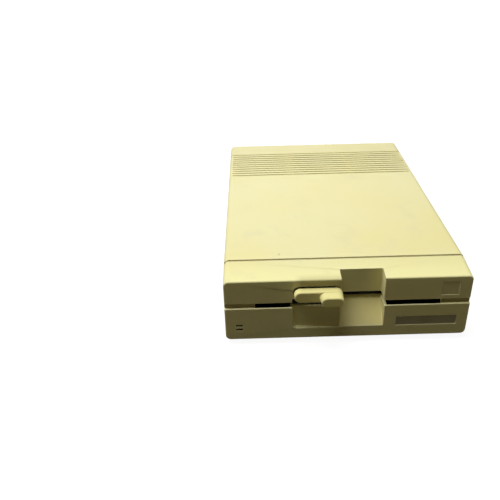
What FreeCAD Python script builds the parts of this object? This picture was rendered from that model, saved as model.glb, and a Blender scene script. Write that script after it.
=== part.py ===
import FreeCAD, Part
import os
import re
import Sketcher

# External floppy disk drive for 5.25-inch disks, in millimetres.
# X is to the right seen from the front, Y runs from the front to the back, Z is up.
# Every place below is in case coordinates: x = 0 is the middle of the case, y = 0 is its
# front face, z = 0 is the table. At the end each piece is moved along Y, so that the
# origin is under the middle of the whole drive, lever included.

SIZES = [
    # shared fits: open gap, press fit, running fit, play of a set-in piece, and how far
    # solids that are fused reach into each other
    ("gap", 0.3), ("tight_fit", 0.02), ("run_fit", 0.05), ("play", 0.2), ("bite", 0.5),
    # case
    ("case_width", 184), ("case_depth", 256), ("case_height", 56.5), ("foot_height", 4.5),
    ("wall", 2.5), ("edge_radius", 4), ("corner_radius", 4.6), ("small_radius", 1.2),
    ("seam", 0.3), ("lower_height", 29), ("slot_gap", 4.1), ("slot_wide", 139.2),
    ("mech_x", 0.6), ("slot_reach", 3), ("reveal", 1.3), ("front_drop", 3.4),
    ("lid_front", 1), ("rim_thick", 1.4), ("rim_drop", 3),
    ("tongue_thick", 1.3), ("tongue_root", 3), ("tongue_high", 2.6),
    # grooves and vents in the lid
    ("front_groove_y", 24.4), ("groove_wide", 2.2), ("groove_deep", 1.5), ("groove_fall", 7),
    ("vent_start", 176.7), ("vent_pitch", 5.17), ("vent_count", 10), ("vent_wide", 2.2),
    ("vent_deep", 1.3), ("vent_slit", 1), ("vent_margin", 3), ("vent_rib", 4),
    # finger notch, scoop and lever recess
    ("notch_left", -5), ("notch_right", 27.2), ("notch_deep", 11.8), ("notch_lip", 0.7),
    ("notch_corner", 0.8),
    ("scoop_foot", 10.3), ("scoop_deep", 14.3), ("scoop_step", 0.6), ("ramp_thick", 3.1),
    ("ramp_rim", 0.8), ("ramp_bevel", 2),
    ("recess_left", -41.2), ("recess_foot", 9.6), ("recess_deep", 3.4), ("recess_thin", 0.3),
    ("recess_corner", 4.4), ("cutout_step", 36.5), ("cutout_margin", 0.9),
    # lever, its shaft and the crank at the shaft's end
    ("lever_x", -35.3), ("lever_lift", 42.1), ("lever_radius", 4.8), ("lever_back", 0.3),
    ("lever_length", 31.1), ("lever_round", 1.3), ("bar_thick", 5.3),
    ("grip_wide", 16.2), ("grip_half", 4.1), ("grip_high", 10), ("grip_drop", 1.85),
    ("grip_root", 3.9), ("grip_flare", 2),
    ("shaft_radius", 3), ("shaft_end", 29), ("shaft_sink", 2.2),
    ("crank_offset", 3.6), ("crank_radius", 2), ("crank_long", 11), ("crank_web", 2),
    # lamps and plates in the front
    ("lamp_inset", 10.8), ("lamp_wide", 5.4), ("lamp_tall", 1.7), ("lamp_low", 8.8),
    ("lamp_pitch", 3.7), ("lamp_sink", 0.35), ("lamp_side", 0.15), ("lamp_lid", 0.1),
    ("lamp_collar", 0.5), ("lamp_long", 4.5), ("leg_pitch", 2.54), ("leg_radius", 0.3),
    ("lamp_board_y", 9), ("lamp_board_half", 5), ("lamp_board_rise", 9),
    ("fork_front", 1), ("fork_back", 1.2), ("fork_high", 5), ("fork_floor", 1.2),
    ("plate_left", 37.2), ("plate_right", 83.3), ("plate_low", 10.1), ("plate_high", 18.3),
    ("plate_deep", 1), ("plate_sink", 0.4),
    ("badge_inset", 9.5), ("badge_wide", 13), ("badge_low", 36.7), ("badge_high", 48.6),
    # feet, bosses and screws
    ("foot_radius", 7), ("foot_inset", 16), ("foot_front_y", 26), ("foot_back_inset", 24),
    ("foot_bevel", 1),
    ("boss_inset", 8), ("boss_front_y", 34), ("boss_back_inset", 13), ("boss_radius", 4.5),
    ("lid_boss_radius", 4), ("screw_radius", 1.5), ("screw_bore", 1.55), ("screw_end", 2),
    ("head_radius", 3), ("head_bore", 3.5), ("head_thick", 2.2),
    ("case_screw_seat", 20), ("case_screw_long", 24),
    ("mech_screw_seat", 8.5), ("mech_screw_long", 12),
    # mechanism: dust frame, chassis, shield
    ("mech_width", 146), ("mech_front", 22), ("mech_depth", 203), ("mech_floor", 15.7),
    ("mech_high", 37.7), ("bezel_thick", 4), ("bezel_step", 1), ("bezel_over", 3.5),
    ("bezel_clear", 0.4),
    ("side_thick", 3), ("deck_low", 28.5), ("deck_thick", 2.5),
    ("post_inset", 7), ("post_front", 38), ("post_back", 35), ("post_radius", 4),
    ("pad_half", 5), ("pad_long", 6), ("pad_high", 6),
    ("shield_thick", 0.6), ("shield_front", 8), ("shield_back", 6),
    # disk and the rails that guide its jacket
    ("jacket_wide", 133.35), ("jacket_clear", 0.4), ("disk_thick", 1.6), ("hub_hole", 14.3),
    ("rail_start", 2), ("rail_ledge", 2), ("rail_drop", 0.1), ("rail_lip", 1), ("rail_high", 3.4),
    # spindle, bearing, rotor, motor board and coils
    ("spindle_y", 76), ("seat_radius", 17), ("cup_foot", 3), ("cup_edge", 1.5), ("cup_taper", 0.8),
    ("cup_deep", 3.2), ("spindle_shaft", 4), ("shaft_tail", 4),
    ("bearing_radius", 11), ("bearing_step", 2), ("bearing_lift", 0.6), ("flange_drop", 1),
    ("rotor_drop", 6.5), ("rotor_radius", 29), ("rotor_thick", 4.6), ("rotor_rim", 2),
    ("rotor_well", 2.4), ("rotor_hub", 9), ("rotor_nose", 7), ("rotor_gap", 0.4),
    ("stage_x", 27), ("stage_front", 28), ("stage_back", 11), ("stage_radius", 3),
    ("stage_high", 1.5), ("motor_board_half", 34), ("motor_board_front", 36),
    ("motor_board_back", 17), ("motor_board_thick", 1.2),
    ("coil_ring", 16), ("coil_radius", 4.6), ("coil_bore", 2), ("coil_gap", 0.5),
    # clamp arm, its pin and spring, and the clamp hub
    ("clamp_inset", 13), ("clamp_z", 46), ("clamp_sheet", 1.6), ("clamp_leg_in", 24),
    ("clamp_leg_out", 34), ("clamp_front", 56), ("clamp_back", 96), ("clamp_tail", 5),
    ("clamp_nose", 18), ("clamp_bevel", 12), ("clamp_fold", 1), ("tab_half", 5), ("tab_neck", 6),
    ("tab_gap", 4), ("ear_half", 4), ("ear_post_off", 5.5), ("ear_post_half", 2.5),
    ("pin_radius", 2), ("pin_reach", 8), ("spring_start", 8), ("spring_room", 0.7),
    ("wire_radius", 0.5), ("wire_gap", 0.02),
    ("hub_lift", 0.45), ("cone_nose", 2), ("cone_fit", 0.5), ("cone_high", 3.2),
    ("hub_rim", 2.2), ("hub_shoulder", 9), ("hub_neck", 7), ("stud_radius", 2.5),
    ("cap_radius", 4.5), ("cap_thick", 1.4),
    # head carriage on its rods, and the two heads
    ("track_zero", 57.15), ("rod_x", 15), ("rod_z", 27.2), ("rod_radius", 2),
    ("rod_front", 95), ("rod_back", 159), ("holder_half", 4), ("holder_long", 4),
    ("holder_drop", 3.5), ("carriage_half", 20), ("carriage_gap", 1), ("carriage_drop", 3.4),
    ("block_front", 11), ("block_back", 17), ("tail_half", 9), ("tail_start", 4),
    ("tail_deep", 2), ("bar_reach", 24), ("bar_half", 5), ("bar_high", 3.2),
    ("arm_pivot", 32), ("arm_half", 7), ("arm_z", 43), ("arm_low", 2), ("arm_high", 2.2),
    ("arm_thin", 1), ("arm_root", 12), ("arm_nose", 4.5), ("arm_pin_radius", 1.5),
    ("arm_pin_half", 11), ("cheek_thick", 3), ("cheek_top", 3),
    ("shoe_half", 2.6), ("shoe_long", 3), ("shoe_high", 1), ("shoe_rub", 0.1),
    ("head_half", 5), ("head_front", 6), ("head_back", 3.5), ("head_step", 0.6),
    ("pad_head_half", 4), ("pad_head_long", 4.5), ("pad_head_low", 0.8), ("head_lift", 2.5),
    # steel band, pulley and stepper motor
    ("band_radius", 8.42), ("band_thick", 0.4), ("band_y", 186), ("band_x", 20.5),
    ("band_low", 1), ("band_high", 3), ("band_reach", 24), ("band_start", 8),
    ("strut_wide", 2.6), ("strut_high", 5), ("pulley_high", 5.2), ("pulley_shaft", 2.5),
    ("pulley_tip", 1.8), ("stepper_radius", 14), ("stepper_lift", 1), ("stepper_bevel", 0.8),
    ("stepper_step", 0.6), ("stepper_collar", 4.9), ("stepper_well", 2.9), ("stepper_hole", 5),
    # sensors
    ("fork_left", 33), ("fork_right", 21), ("fork_slot", 27), ("fork_gap", 4.2), ("fork_top", 7),
    ("fork_ahead", 6), ("fork_behind", 3),
    ("sensor_half", 3), ("index_x", 23), ("index_y", 21),
    ("protect_x", -59), ("protect_y", 20), ("protect_half", 4), ("protect_long", 6),
    # logic board and mechanism board
    ("board_half", 58), ("board_front", 30), ("board_gap", 1), ("board_z", 9.5),
    ("board_thick", 1.6), ("board_bore", 1.25), ("standoff_radius", 3), ("standoff_bore", 1.2),
    ("standoff_side", 6), ("standoff_front", 10), ("standoff_mid", 52), ("standoff_back", 20),
    ("board_screw_head", 2.4), ("board_screw_radius", 1.15), ("board_head_thick", 1.6),
    ("mech_board_long", 62), ("chip_lift", 0.4), ("chip_high", 3.2), ("leg_high", 1.8),
    ("leg_thick", 0.5), ("leg_inset", 1), ("low_chip_high", 2.8),
    ("can_radius", 5), ("small_can_radius", 4), ("crystal_long", 11), ("crystal_wide", 4.5),
    ("crystal_high", 3.4),
    # ribbon cable and the headers it plugs into
    ("header_x", -10), ("header_half", 14), ("header_wide", 6), ("header_high", 6),
    ("header_back", 16), ("low_header_high", 3), ("ribbon_wide", 25.4), ("ribbon_thick", 0.9),
    ("ribbon_bend", 5), ("ribbon_rise", 1.5),
    # sunk bay, sockets and switches at the back
    ("bay_deep", 3), ("bay_low", 5), ("bay_margin", 2.4), ("bay_left", -58), ("bay_right", 81),
    ("sink", 1.5), ("socket_side", 18), ("socket_deep", 16), ("socket_bore", 6.8),
    ("socket_well", 9), ("core_radius", 5.6), ("core_sink", 0.5), ("contact_ring", 3.4),
    ("contact_radius", 0.8), ("contact_deep", 8),
    ("serial_a_x", -12), ("serial_b_x", -38), ("power_x", 42),
    ("selector_x", 17), ("selector_half", 5), ("selector_high", 13), ("selector_deep", 8),
    ("track_half", 0.9), ("track_off", 2.3), ("track_low", 5), ("track_high", 10),
    ("track_deep", 2), ("slider_half", 0.7), ("slider_tall", 2.2), ("slider_out", 0.7),
    ("slider_gap", 0.1),
    ("switch_x", 70), ("switch_half", 6), ("switch_tall", 9.3), ("switch_deep", 16),
    ("frame_half", 7.6), ("frame_tall", 10.6), ("frame_thick", 1.6),
    ("well_half", 4.8), ("well_tall", 8.7), ("well_deep", 8),
    ("rocker_half", 4.5), ("rocker_axis", 2.4), ("rocker_tilt", 11), ("rocker_end", 7.9),
    ("rocker_face", 3.2), ("rocker_dip", 1.9), ("rocker_back", 2.4), ("rocker_foot", 4.6),
    ("rocker_side", 7.2), ("rocker_round", 0.6), ("rocker_pin", 0.9), ("rocker_pin_half", 5.5),
]

# Places that follow from the sizes. A name here is replaced by its formula.
PLACES = {
    "half": "case_width / 2",
    "base": "foot_height",
    "top": "base + case_height",
    "lip": "base + lower_height",
    "slot_top": "lip + slot_gap",
    "floor": "base + wall",
    "ceiling": "top - wall",
    "slot_left": "mech_x - slot_wide / 2",
    "slot_right": "mech_x + slot_wide / 2",
    "disk_z": "lip + slot_gap / 2",
    "disk_low": "disk_z - disk_thick / 2",
    "disk_high": "disk_z + disk_thick / 2",
    "lever_z": "base + lever_lift",
    "lever_front": "lever_back + grip_high",
    "lever_end": "lever_x + lever_length",
    "cutout_radius": "lever_radius + gap",
    "cutout_end": "notch_left - cutout_margin - cutout_radius",
    "lamp_x": "lamp_inset - half",
    "lamp_back": "wall + play + lamp_long",
    "badge_right": "half - badge_inset",
    "badge_left": "badge_right - badge_wide",
    "foot_x": "half - foot_inset",
    "foot_back_y": "case_depth - foot_back_inset",
    "boss_x": "half - boss_inset",
    "boss_back_y": "case_depth - boss_back_inset",
    "shift": "0 - (case_depth - lever_front) / 2",
    "rear_wall": "case_depth - bay_deep",
    "rear_inside": "rear_wall - wall",
    "board_back": "rear_inside - board_gap",
    "mech_back": "mech_front + mech_depth",
    "mech_top": "mech_floor + mech_high",
    "mech_left": "mech_x - mech_width / 2",
    "mech_right": "mech_x + mech_width / 2",
    "post_x": "mech_width / 2 - post_inset",
    "post_front_y": "mech_front + post_front",
    "post_back_y": "mech_back - post_back",
    "clamp_y": "mech_back - clamp_inset",
    "deck_top": "deck_low + deck_thick",
    "head_y": "spindle_y + track_zero",
    "arm_y": "head_y + arm_pivot",
    "crank_x": "lever_x + crank_offset * cos(45)",
    "crank_z": "lever_z + crank_offset * sin(45)",
    "clamp_low": "crank_z + crank_radius + gap",
    "clamp_high": "clamp_low + clamp_sheet",
    "rotor_top": "deck_low - rotor_drop",
    "tail_z": "deck_top + gap",
    "band_edge": "mech_x + band_x",
    "pulley_x": "band_edge + gap + band_radius",
    "board_top": "board_z + board_thick",
    "mech_board_top": "mech_top + board_thick",
    "bay_z0": "base + bay_low",
    "bay_z1": "board_top + socket_side + bay_margin",
    "socket_z": "board_top + socket_side / 2",
    "face_y": "case_depth - sink",
}

doc = FreeCAD.newDocument("floppy_drive")
sheet = doc.addObject("Spreadsheet::Sheet", "Sizes")
for row, (alias, value) in enumerate(SIZES, 1):
    sheet.set(f"A{row}", alias)
    sheet.set(f"B{row}", str(value))
    sheet.setAlias(f"B{row}", alias)
doc.recompute()

ALIASES = {alias for alias, value in SIZES}
MARGIN = "1"          # how far a cutting tool stands out of what it cuts
seats = {}            # primitive name -> its place as three formulas
pieces = {}           # node name -> finished object


def bind(text):
    """Turn a formula in plain names into one in cells of the sheet."""
    def cell(match):
        word = match.group(0)
        if word in PLACES:
            return "(" + bind(PLACES[word]) + ")"
        return "Sizes." + word if word in ALIASES else word
    return re.sub(r"[a-z_][a-z_0-9]*", cell, str(text))


def number(text):
    return float(sheet.evalExpression(bind(text)))


def seat(thing, x, y, z):
    """Bind the place of an object to three formulas."""
    seats[thing.Name] = (x, y, z)
    for axis, formula in zip("xyz", (x, y, z)):
        thing.setExpression("Placement.Base." + axis, bind(formula))


def keep(thing, label):
    """Name a finished piece and move it from case coordinates to the drive's own frame."""
    thing.Label = label
    x, y, z = seats.get(thing.Name, ("0", "0", "0"))
    seat(thing, x, f"{y} + shift", z)
    pieces[label] = thing
    return thing


# ---- spans: two formulas, the low one and the high one ---------------------------------

def about(centre, half):
    """The span that reaches half to both sides of a centre."""
    return f"{centre} - ({half})", f"{centre} + ({half})"


def upward(low, height):
    return low, f"{low} + ({height})"


# ---- simple solids and booleans ----------------------------------------------------------

def box(x, y, z, name="block"):
    """A box between two formulas on each axis."""
    solid = doc.addObject("Part::Box", name)
    for prop, (low, high) in zip(("Length", "Width", "Height"), (x, y, z)):
        solid.setExpression(prop, bind(f"({high}) - ({low})"))
    seat(solid, x[0], y[0], z[0])
    return solid


TURN = {"x": FreeCAD.Rotation(FreeCAD.Vector(0, 1, 0), 90),
        "y": FreeCAD.Rotation(FreeCAD.Vector(1, 0, 0), -90),
        "z": FreeCAD.Rotation()}


def rod(axis, centre, span, radius, name="rod"):
    """A cylinder along an axis; centre holds the two other coordinates in X, Y, Z order."""
    solid = doc.addObject("Part::Cylinder", name)
    solid.Placement = FreeCAD.Placement(FreeCAD.Vector(), TURN[axis])
    solid.setExpression("Radius", bind(radius))
    solid.setExpression("Height", bind(f"({span[1]}) - ({span[0]})"))
    place = list(centre)
    place.insert("xyz".index(axis), span[0])
    seat(solid, *place)
    return solid


def join(*solids, name="joined"):
    fused = doc.addObject("Part::MultiFuse", name)
    fused.Shapes = list(solids)
    fused.Refine = True
    return fused


def carve(base, *tools, name="carved"):
    cut = doc.addObject("Part::Cut", name)
    cut.Base = base
    cut.Tool = tools[0] if len(tools) == 1 else join(*tools, name=name + "_tools")
    cut.Refine = True
    return cut


def group(*solids, name="group"):
    """Separate solids kept together as one node."""
    bundle = doc.addObject("Part::Compound", name)
    bundle.Links = list(solids)
    return bundle


# ---- bodies made of sketches and features ------------------------------------------------

ROLES = {"XY": "XY_Plane", "XZ": "XZ_Plane", "YZ": "YZ_Plane"}
QUARTER = 1.5707963267949


class Body:
    """A PartDesign body. A sketch's own axes are X, Y on XY; X, Z on XZ; Y, Z on YZ."""

    def __init__(self, name):
        self.body = doc.addObject("PartDesign::Body", name)
        self.name = name
        self.last = None

    def origin(self, role):
        return next(f for f in self.body.Origin.OriginFeatures if f.Role == role)

    def sketch(self, plane, offset):
        """The offset is along the plane's normal, which is -Y for XZ."""
        drawing = self.body.newObject("Sketcher::SketchObject", "sketch")
        drawing.AttachmentSupport = [(self.origin(ROLES[plane]), "")]
        drawing.MapMode = "FlatFace"
        drawing.setExpression("AttachmentOffset.Base.z", bind(offset))
        return drawing

    def pin(self, drawing, kind, places, value, formula):
        """A dimension of the sketch, bound to the sheet."""
        index = drawing.addConstraint(Sketcher.Constraint(kind, *places, value))
        drawing.setExpression(f"Constraints[{index}]", bind(formula))

    def outline(self, drawing, corners):
        """A closed outline whose corners are pinned to the sheet."""
        first = drawing.GeometryCount
        points = [FreeCAD.Vector(number(u), number(v), 0) for u, v in corners]
        count = len(points)
        for i in range(count):
            drawing.addGeometry(Part.LineSegment(points[i], points[(i + 1) % count]), False)
        for i, (u, v) in enumerate(corners):
            after = first + (i + 1) % count
            drawing.addConstraint(Sketcher.Constraint("Coincident", first + i, 2, after, 1))
            self.pin(drawing, "DistanceX", (-1, 1, first + i, 1), points[i].x, u)
            self.pin(drawing, "DistanceY", (-1, 1, first + i, 1), points[i].y, v)

    def circle(self, drawing, u, v, radius):
        centre = FreeCAD.Vector(number(u), number(v), 0)
        size = number(radius)
        round_line = Part.Circle(centre, FreeCAD.Vector(0, 0, 1), size)
        index = drawing.addGeometry(round_line, False)
        self.pin(drawing, "DistanceX", (-1, 1, index, 3), centre.x, u)
        self.pin(drawing, "DistanceY", (-1, 1, index, 3), centre.y, v)
        self.pin(drawing, "Radius", (index,), size, radius)

    def stadium(self, drawing, left, right, height, radius):
        """A bar with round ends, between two centres at one height."""
        low, high, level, size = (number(f) for f in (left, right, height, radius))

        def end(x, start):
            round_line = Part.Circle(FreeCAD.Vector(x, level, 0), FreeCAD.Vector(0, 0, 1), size)
            return Part.ArcOfCircle(round_line, start, start + 2 * QUARTER)

        def side(start, stop, z):
            return Part.LineSegment(FreeCAD.Vector(start, z, 0), FreeCAD.Vector(stop, z, 0))

        for shape in (end(low, QUARTER), side(low, high, level - size),
                      end(high, -QUARTER), side(high, low, level + size)):
            drawing.addGeometry(shape, False)
        for first, second in ((0, 1), (1, 2), (2, 3), (3, 0)):
            drawing.addConstraint(Sketcher.Constraint("Tangent", first, 2, second, 1))
        drawing.addConstraint(Sketcher.Constraint("Equal", 0, 2))
        self.pin(drawing, "DistanceX", (-1, 1, 0, 3), low, left)
        self.pin(drawing, "DistanceY", (-1, 1, 0, 3), level, height)
        self.pin(drawing, "DistanceX", (-1, 1, 2, 3), high, right)
        self.pin(drawing, "DistanceY", (-1, 1, 2, 3), level, height)
        self.pin(drawing, "Radius", (0,), size, radius)

    def extrude(self, kind, drawing, length):
        """A pad or pocket along the sketch's normal."""
        made = self.body.newObject("PartDesign::" + kind, kind.lower())
        made.Profile = drawing
        made.setExpression("Length", bind(length))
        made.Reversed = kind == "Pocket"
        doc.recompute()
        self.check(made)
        return made

    def loft(self, first, second):
        made = self.body.newObject("PartDesign::AdditiveLoft", "loft")
        made.Profile = first
        made.Sections = [second]
        doc.recompute()
        self.check(made)
        return made

    def feature(self, kind, plane, span, outlines, circles):
        low, high = span
        drawing = self.sketch(plane, f"0 - ({high})" if plane == "XZ" else low)
        for corners in outlines:
            self.outline(drawing, corners)
        for circle in circles:
            self.circle(drawing, *circle)
        return self.extrude(kind, drawing, f"({high}) - ({low})")

    def check(self, made):
        """A feature has to build, and a pocket has to take something away."""
        if not made.isValid() or made.Shape.isNull():
            raise RuntimeError(f"{self.name}: {made.Name} failed")
        volume = made.Shape.Volume
        if made.TypeId == "PartDesign::Pocket" and volume >= self.last - 1e-6:
            raise RuntimeError(f"{self.name}: {made.Name} cuts nothing")
        self.last = volume

    def pad(self, plane, span, *outlines, circles=()):
        return self.feature("Pad", plane, span, outlines, circles)

    def pocket(self, plane, span, *outlines, circles=()):
        return self.feature("Pocket", plane, span, outlines, circles)

    def turned(self, profile, x="0", y="0", z="0"):
        """A turned piece: the profile is (radius, height) about Z, and its seat is x, y, z."""
        drawing = self.sketch("XZ", "0")
        self.outline(drawing, profile)
        made = self.body.newObject("PartDesign::Revolution", "revolution")
        made.Profile = drawing
        made.ReferenceAxis = (drawing, ["V_Axis"])
        made.Angle = 360
        doc.recompute()
        self.check(made)
        seat(self.body, x, y, z)
        return made

    def edges(self, test):
        """Names of the edges whose every corner and middle point pass the test."""
        names = []
        for i, edge in enumerate(self.body.Tip.Shape.Edges, 1):
            spots = [v.Point for v in edge.Vertexes]
            spots.append(edge.valueAt((edge.FirstParameter + edge.LastParameter) / 2))
            if all(test(p.x, p.y, p.z) for p in spots):
                names.append(f"Edge{i}")
        return names

    def soften(self, radius, test, kind="Fillet"):
        """Round or chamfer the edges that pass the test."""
        names = self.edges(test)
        if not names:
            raise RuntimeError(f"{self.name}: no edge to soften")
        tip = self.body.Tip
        made = self.body.newObject("PartDesign::" + kind, kind.lower())
        made.Base = (tip, names)
        made.setExpression("Radius" if kind == "Fillet" else "Size", bind(radius))
        doc.recompute()
        self.check(made)
        return made

    def repeat(self, features, length, count):
        """Repeat features along Y."""
        made = self.body.newObject("PartDesign::LinearPattern", "pattern")
        made.Originals = features
        made.Direction = (self.origin("Y_Axis"), [""])
        made.setExpression("Length", bind(length))
        made.setExpression("Occurrences", bind(count))
        self.body.Tip = made
        doc.recompute()
        self.check(made)
        return made

    def done(self):
        return keep(self.body, self.name)


def rectangle(x, y):
    """Four corners between two formulas on each axis."""
    return [(x[0], y[0]), (x[1], y[0]), (x[1], y[1]), (x[0], y[1])]


def near(value, formula, slack=0.05):
    return abs(value - number(formula)) < slack


# ---- case --------------------------------------------------------------------------------

SIDES = (-1, 1)
BOSSES = [(f"{side} * boss_x", y) for side in SIDES for y in ("boss_front_y", "boss_back_y")]
POSTS = [(f"mech_x + {side} * post_x", y) for side in SIDES for y in ("post_front_y", "post_back_y")]
STANDOFF_ROWS = ("board_front + standoff_front", "board_back - standoff_mid",
                 "board_back - standoff_back")
STANDOFFS = [(f"{side} * (board_half - standoff_side)", y) for side in SIDES for y in STANDOFF_ROWS]
SOCKETS = [("serial_socket_a", "serial_a_x"), ("serial_socket_b", "serial_b_x"),
           ("power_inlet", "power_x")]


def make_bottom_shell():
    """Lower shell: a tray with the scoop, the lever recess, lamp windows and socket openings."""
    shell = Body("bottom_shell")
    shell.pad("XY", ("base", "lip"), rectangle(("0 - half", "half"), ("0", "case_depth")))
    shell.soften("corner_radius", lambda x, y, z: near(abs(x), "half") and near(y, "case_depth"))
    shell.soften("edge_radius", lambda x, y, z: near(z, "base") and y > 0.01)
    shell.soften("small_radius", lambda x, y, z: near(y, "0") and near(z, "base"))
    shell.pocket("XY", ("floor", f"lip + {MARGIN}"),
                 rectangle(("wall - half", "half - wall"), ("wall", "rear_inside")))
    # walls behind the lever recess and under the scoop
    shell.pad("XY", ("base + recess_foot - wall", "lip"),
              [("recess_left - wall", "wall / 2"), ("notch_left", "wall / 2"),
               ("notch_left", "recess_thin + wall"), ("recess_left - wall", "recess_deep + wall")])
    shell.pad("YZ", ("notch_left - wall", "notch_right + wall"),
              [("wall / 2", "base + scoop_foot - wall"), ("ramp_thick", "base + scoop_foot - wall"),
               ("scoop_deep + ramp_thick - ramp_bevel * scoop_deep / (lip - base - scoop_foot + wall)",
                "lip - ramp_bevel"), ("scoop_deep + ramp_rim", "lip"), ("wall / 2", "lip")])
    # tongues that the upper shell slides over
    tongues = []
    for side in SIDES:
        outer, face, back = (f"{side} * (half - wall {shift})"
                             for shift in ("+ bite", "- gap", "- gap - tongue_thick"))
        tongues.append([(outer, "lip - tongue_root"), (back, "lip - tongue_root"),
                        (back, "lip + tongue_high"), (face, "lip + tongue_high"),
                        (face, "lip"), (outer, "lip")])
    shell.pad("XZ", ("boss_front_y + boss_radius", "boss_back_y - boss_radius"), *tongues)
    # bosses for the case screws, posts for the mechanism, standoffs for the board
    shell.pad("XY", ("floor - bite", "lip - seam"), circles=[(x, y, "boss_radius") for x, y in BOSSES])
    shell.pad("XY", ("floor - bite", "mech_floor - shield_thick"),
              circles=[(x, y, "post_radius") for x, y in POSTS])
    shell.pad("XY", ("floor - bite", "board_z"),
              circles=[(x, y, "standoff_radius") for x, y in STANDOFFS])
    # fork that holds the lamp board
    board_y = upward("lamp_board_y", "board_thick")
    shell.pad("XY", ("floor - bite", "floor + fork_high"),
              rectangle(about("lamp_x", "lamp_board_half"),
                        (f"{board_y[0]} - fork_front", f"{board_y[1]} + fork_back")))
    shell.pocket("XY", ("floor + fork_floor", f"floor + fork_high + {MARGIN}"),
                 rectangle(about("lamp_x", f"lamp_board_half + {MARGIN}"),
                           (f"{board_y[0]} - gap / 2", f"{board_y[1]} + gap / 2")))
    # lever recess, deepest at the left, and scoop, which slopes up to the slot
    shell.pocket("XY", ("base + recess_foot", f"lip + {MARGIN}"),
                 [("recess_left", f"0 - {MARGIN}"), ("notch_left", f"0 - {MARGIN}"),
                  ("notch_left", "recess_thin"), ("recess_left", "recess_deep")])
    shell.soften("recess_corner", lambda x, y, z: near(x, "recess_left")
                 and near(z, "base + recess_foot") and y < number("recess_deep") + 0.1)
    shell.pocket("YZ", ("notch_left", "notch_right + scoop_step"),
                 [(f"0 - {MARGIN}", "base + scoop_foot"), ("0", "base + scoop_foot"),
                  ("scoop_deep", "lip"), ("scoop_deep", f"lip + {MARGIN}"),
                  (f"0 - {MARGIN}", f"lip + {MARGIN}")])
    # thin rim of the front wall below the slot, up to the side of the lever recess
    rims = [rectangle(x, ("rim_thick", f"{y} + {MARGIN}"))
            for x, y in ((("slot_left", "recess_left - rim_thick"), "recess_deep + wall"),
                         (("notch_right + wall", "slot_right"), "wall"))]
    shell.pocket("XY", ("lip - rim_drop", f"lip + {MARGIN}"), *rims)
    # lamp windows and nameplate recess in the front
    windows = [rectangle(about("lamp_x", "lamp_wide / 2"),
                         upward(f"base + lamp_low + {i} * lamp_pitch", "lamp_tall")) for i in range(2)]
    shell.pocket("XZ", (f"0 - {MARGIN}", f"wall + {MARGIN}"), *windows)
    shell.pocket("XZ", (f"0 - {MARGIN}", "plate_deep"),
                 rectangle(("plate_left", "plate_right"), ("base + plate_low", "base + plate_high")))
    # sunk bay at the back and its openings
    shell.pocket("XZ", ("rear_wall", f"case_depth + {MARGIN}"),
                 rectangle(("bay_left", "bay_right"), ("bay_z0", "bay_z1")))
    openings = [rectangle(about(x, "socket_side / 2 + gap"), about("socket_z", "socket_side / 2 + gap"))
                for _, x in SOCKETS]
    openings.append(rectangle(about("selector_x", "selector_half + gap"),
                              ("board_top - gap", "board_top + selector_high + gap")))
    openings.append(rectangle(about("switch_x", "switch_half + gap"),
                              about("socket_z", "switch_tall + gap")))
    shell.pocket("XZ", (f"rear_inside - {MARGIN}", f"rear_wall + {MARGIN}"), *openings)
    # screw holes
    for holes, seat_z, end in ((BOSSES, "case_screw_seat", "lip"), (POSTS, "mech_screw_seat", "mech_floor")):
        shell.pocket("XY", (f"base - {MARGIN}", seat_z), circles=[(x, y, "head_bore") for x, y in holes])
        shell.pocket("XY", (f"{seat_z} - {MARGIN}", f"{end} + {MARGIN}"),
                     circles=[(x, y, "screw_bore") for x, y in holes])
    shell.pocket("XY", ("floor", f"board_z + {MARGIN}"),
                 circles=[(x, y, "standoff_bore") for x, y in STANDOFFS])
    return shell.done()


def lid_groove(lid, y):
    """A groove across the lid that falls over both side edges."""
    edge = "(half - groove_deep)"
    low = "top - groove_fall"
    bottom = "top - groove_deep"
    out, above = f"half + {MARGIN}", f"top + {MARGIN}"
    lid.pocket("XZ", about(y, "groove_wide / 2"),
               [(f"0 - ({out})", low), (f"0 - {edge}", low), (f"0 - {edge}", bottom), (edge, bottom),
                (edge, low), (out, low), (out, above), (f"0 - ({out})", above)])


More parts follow.
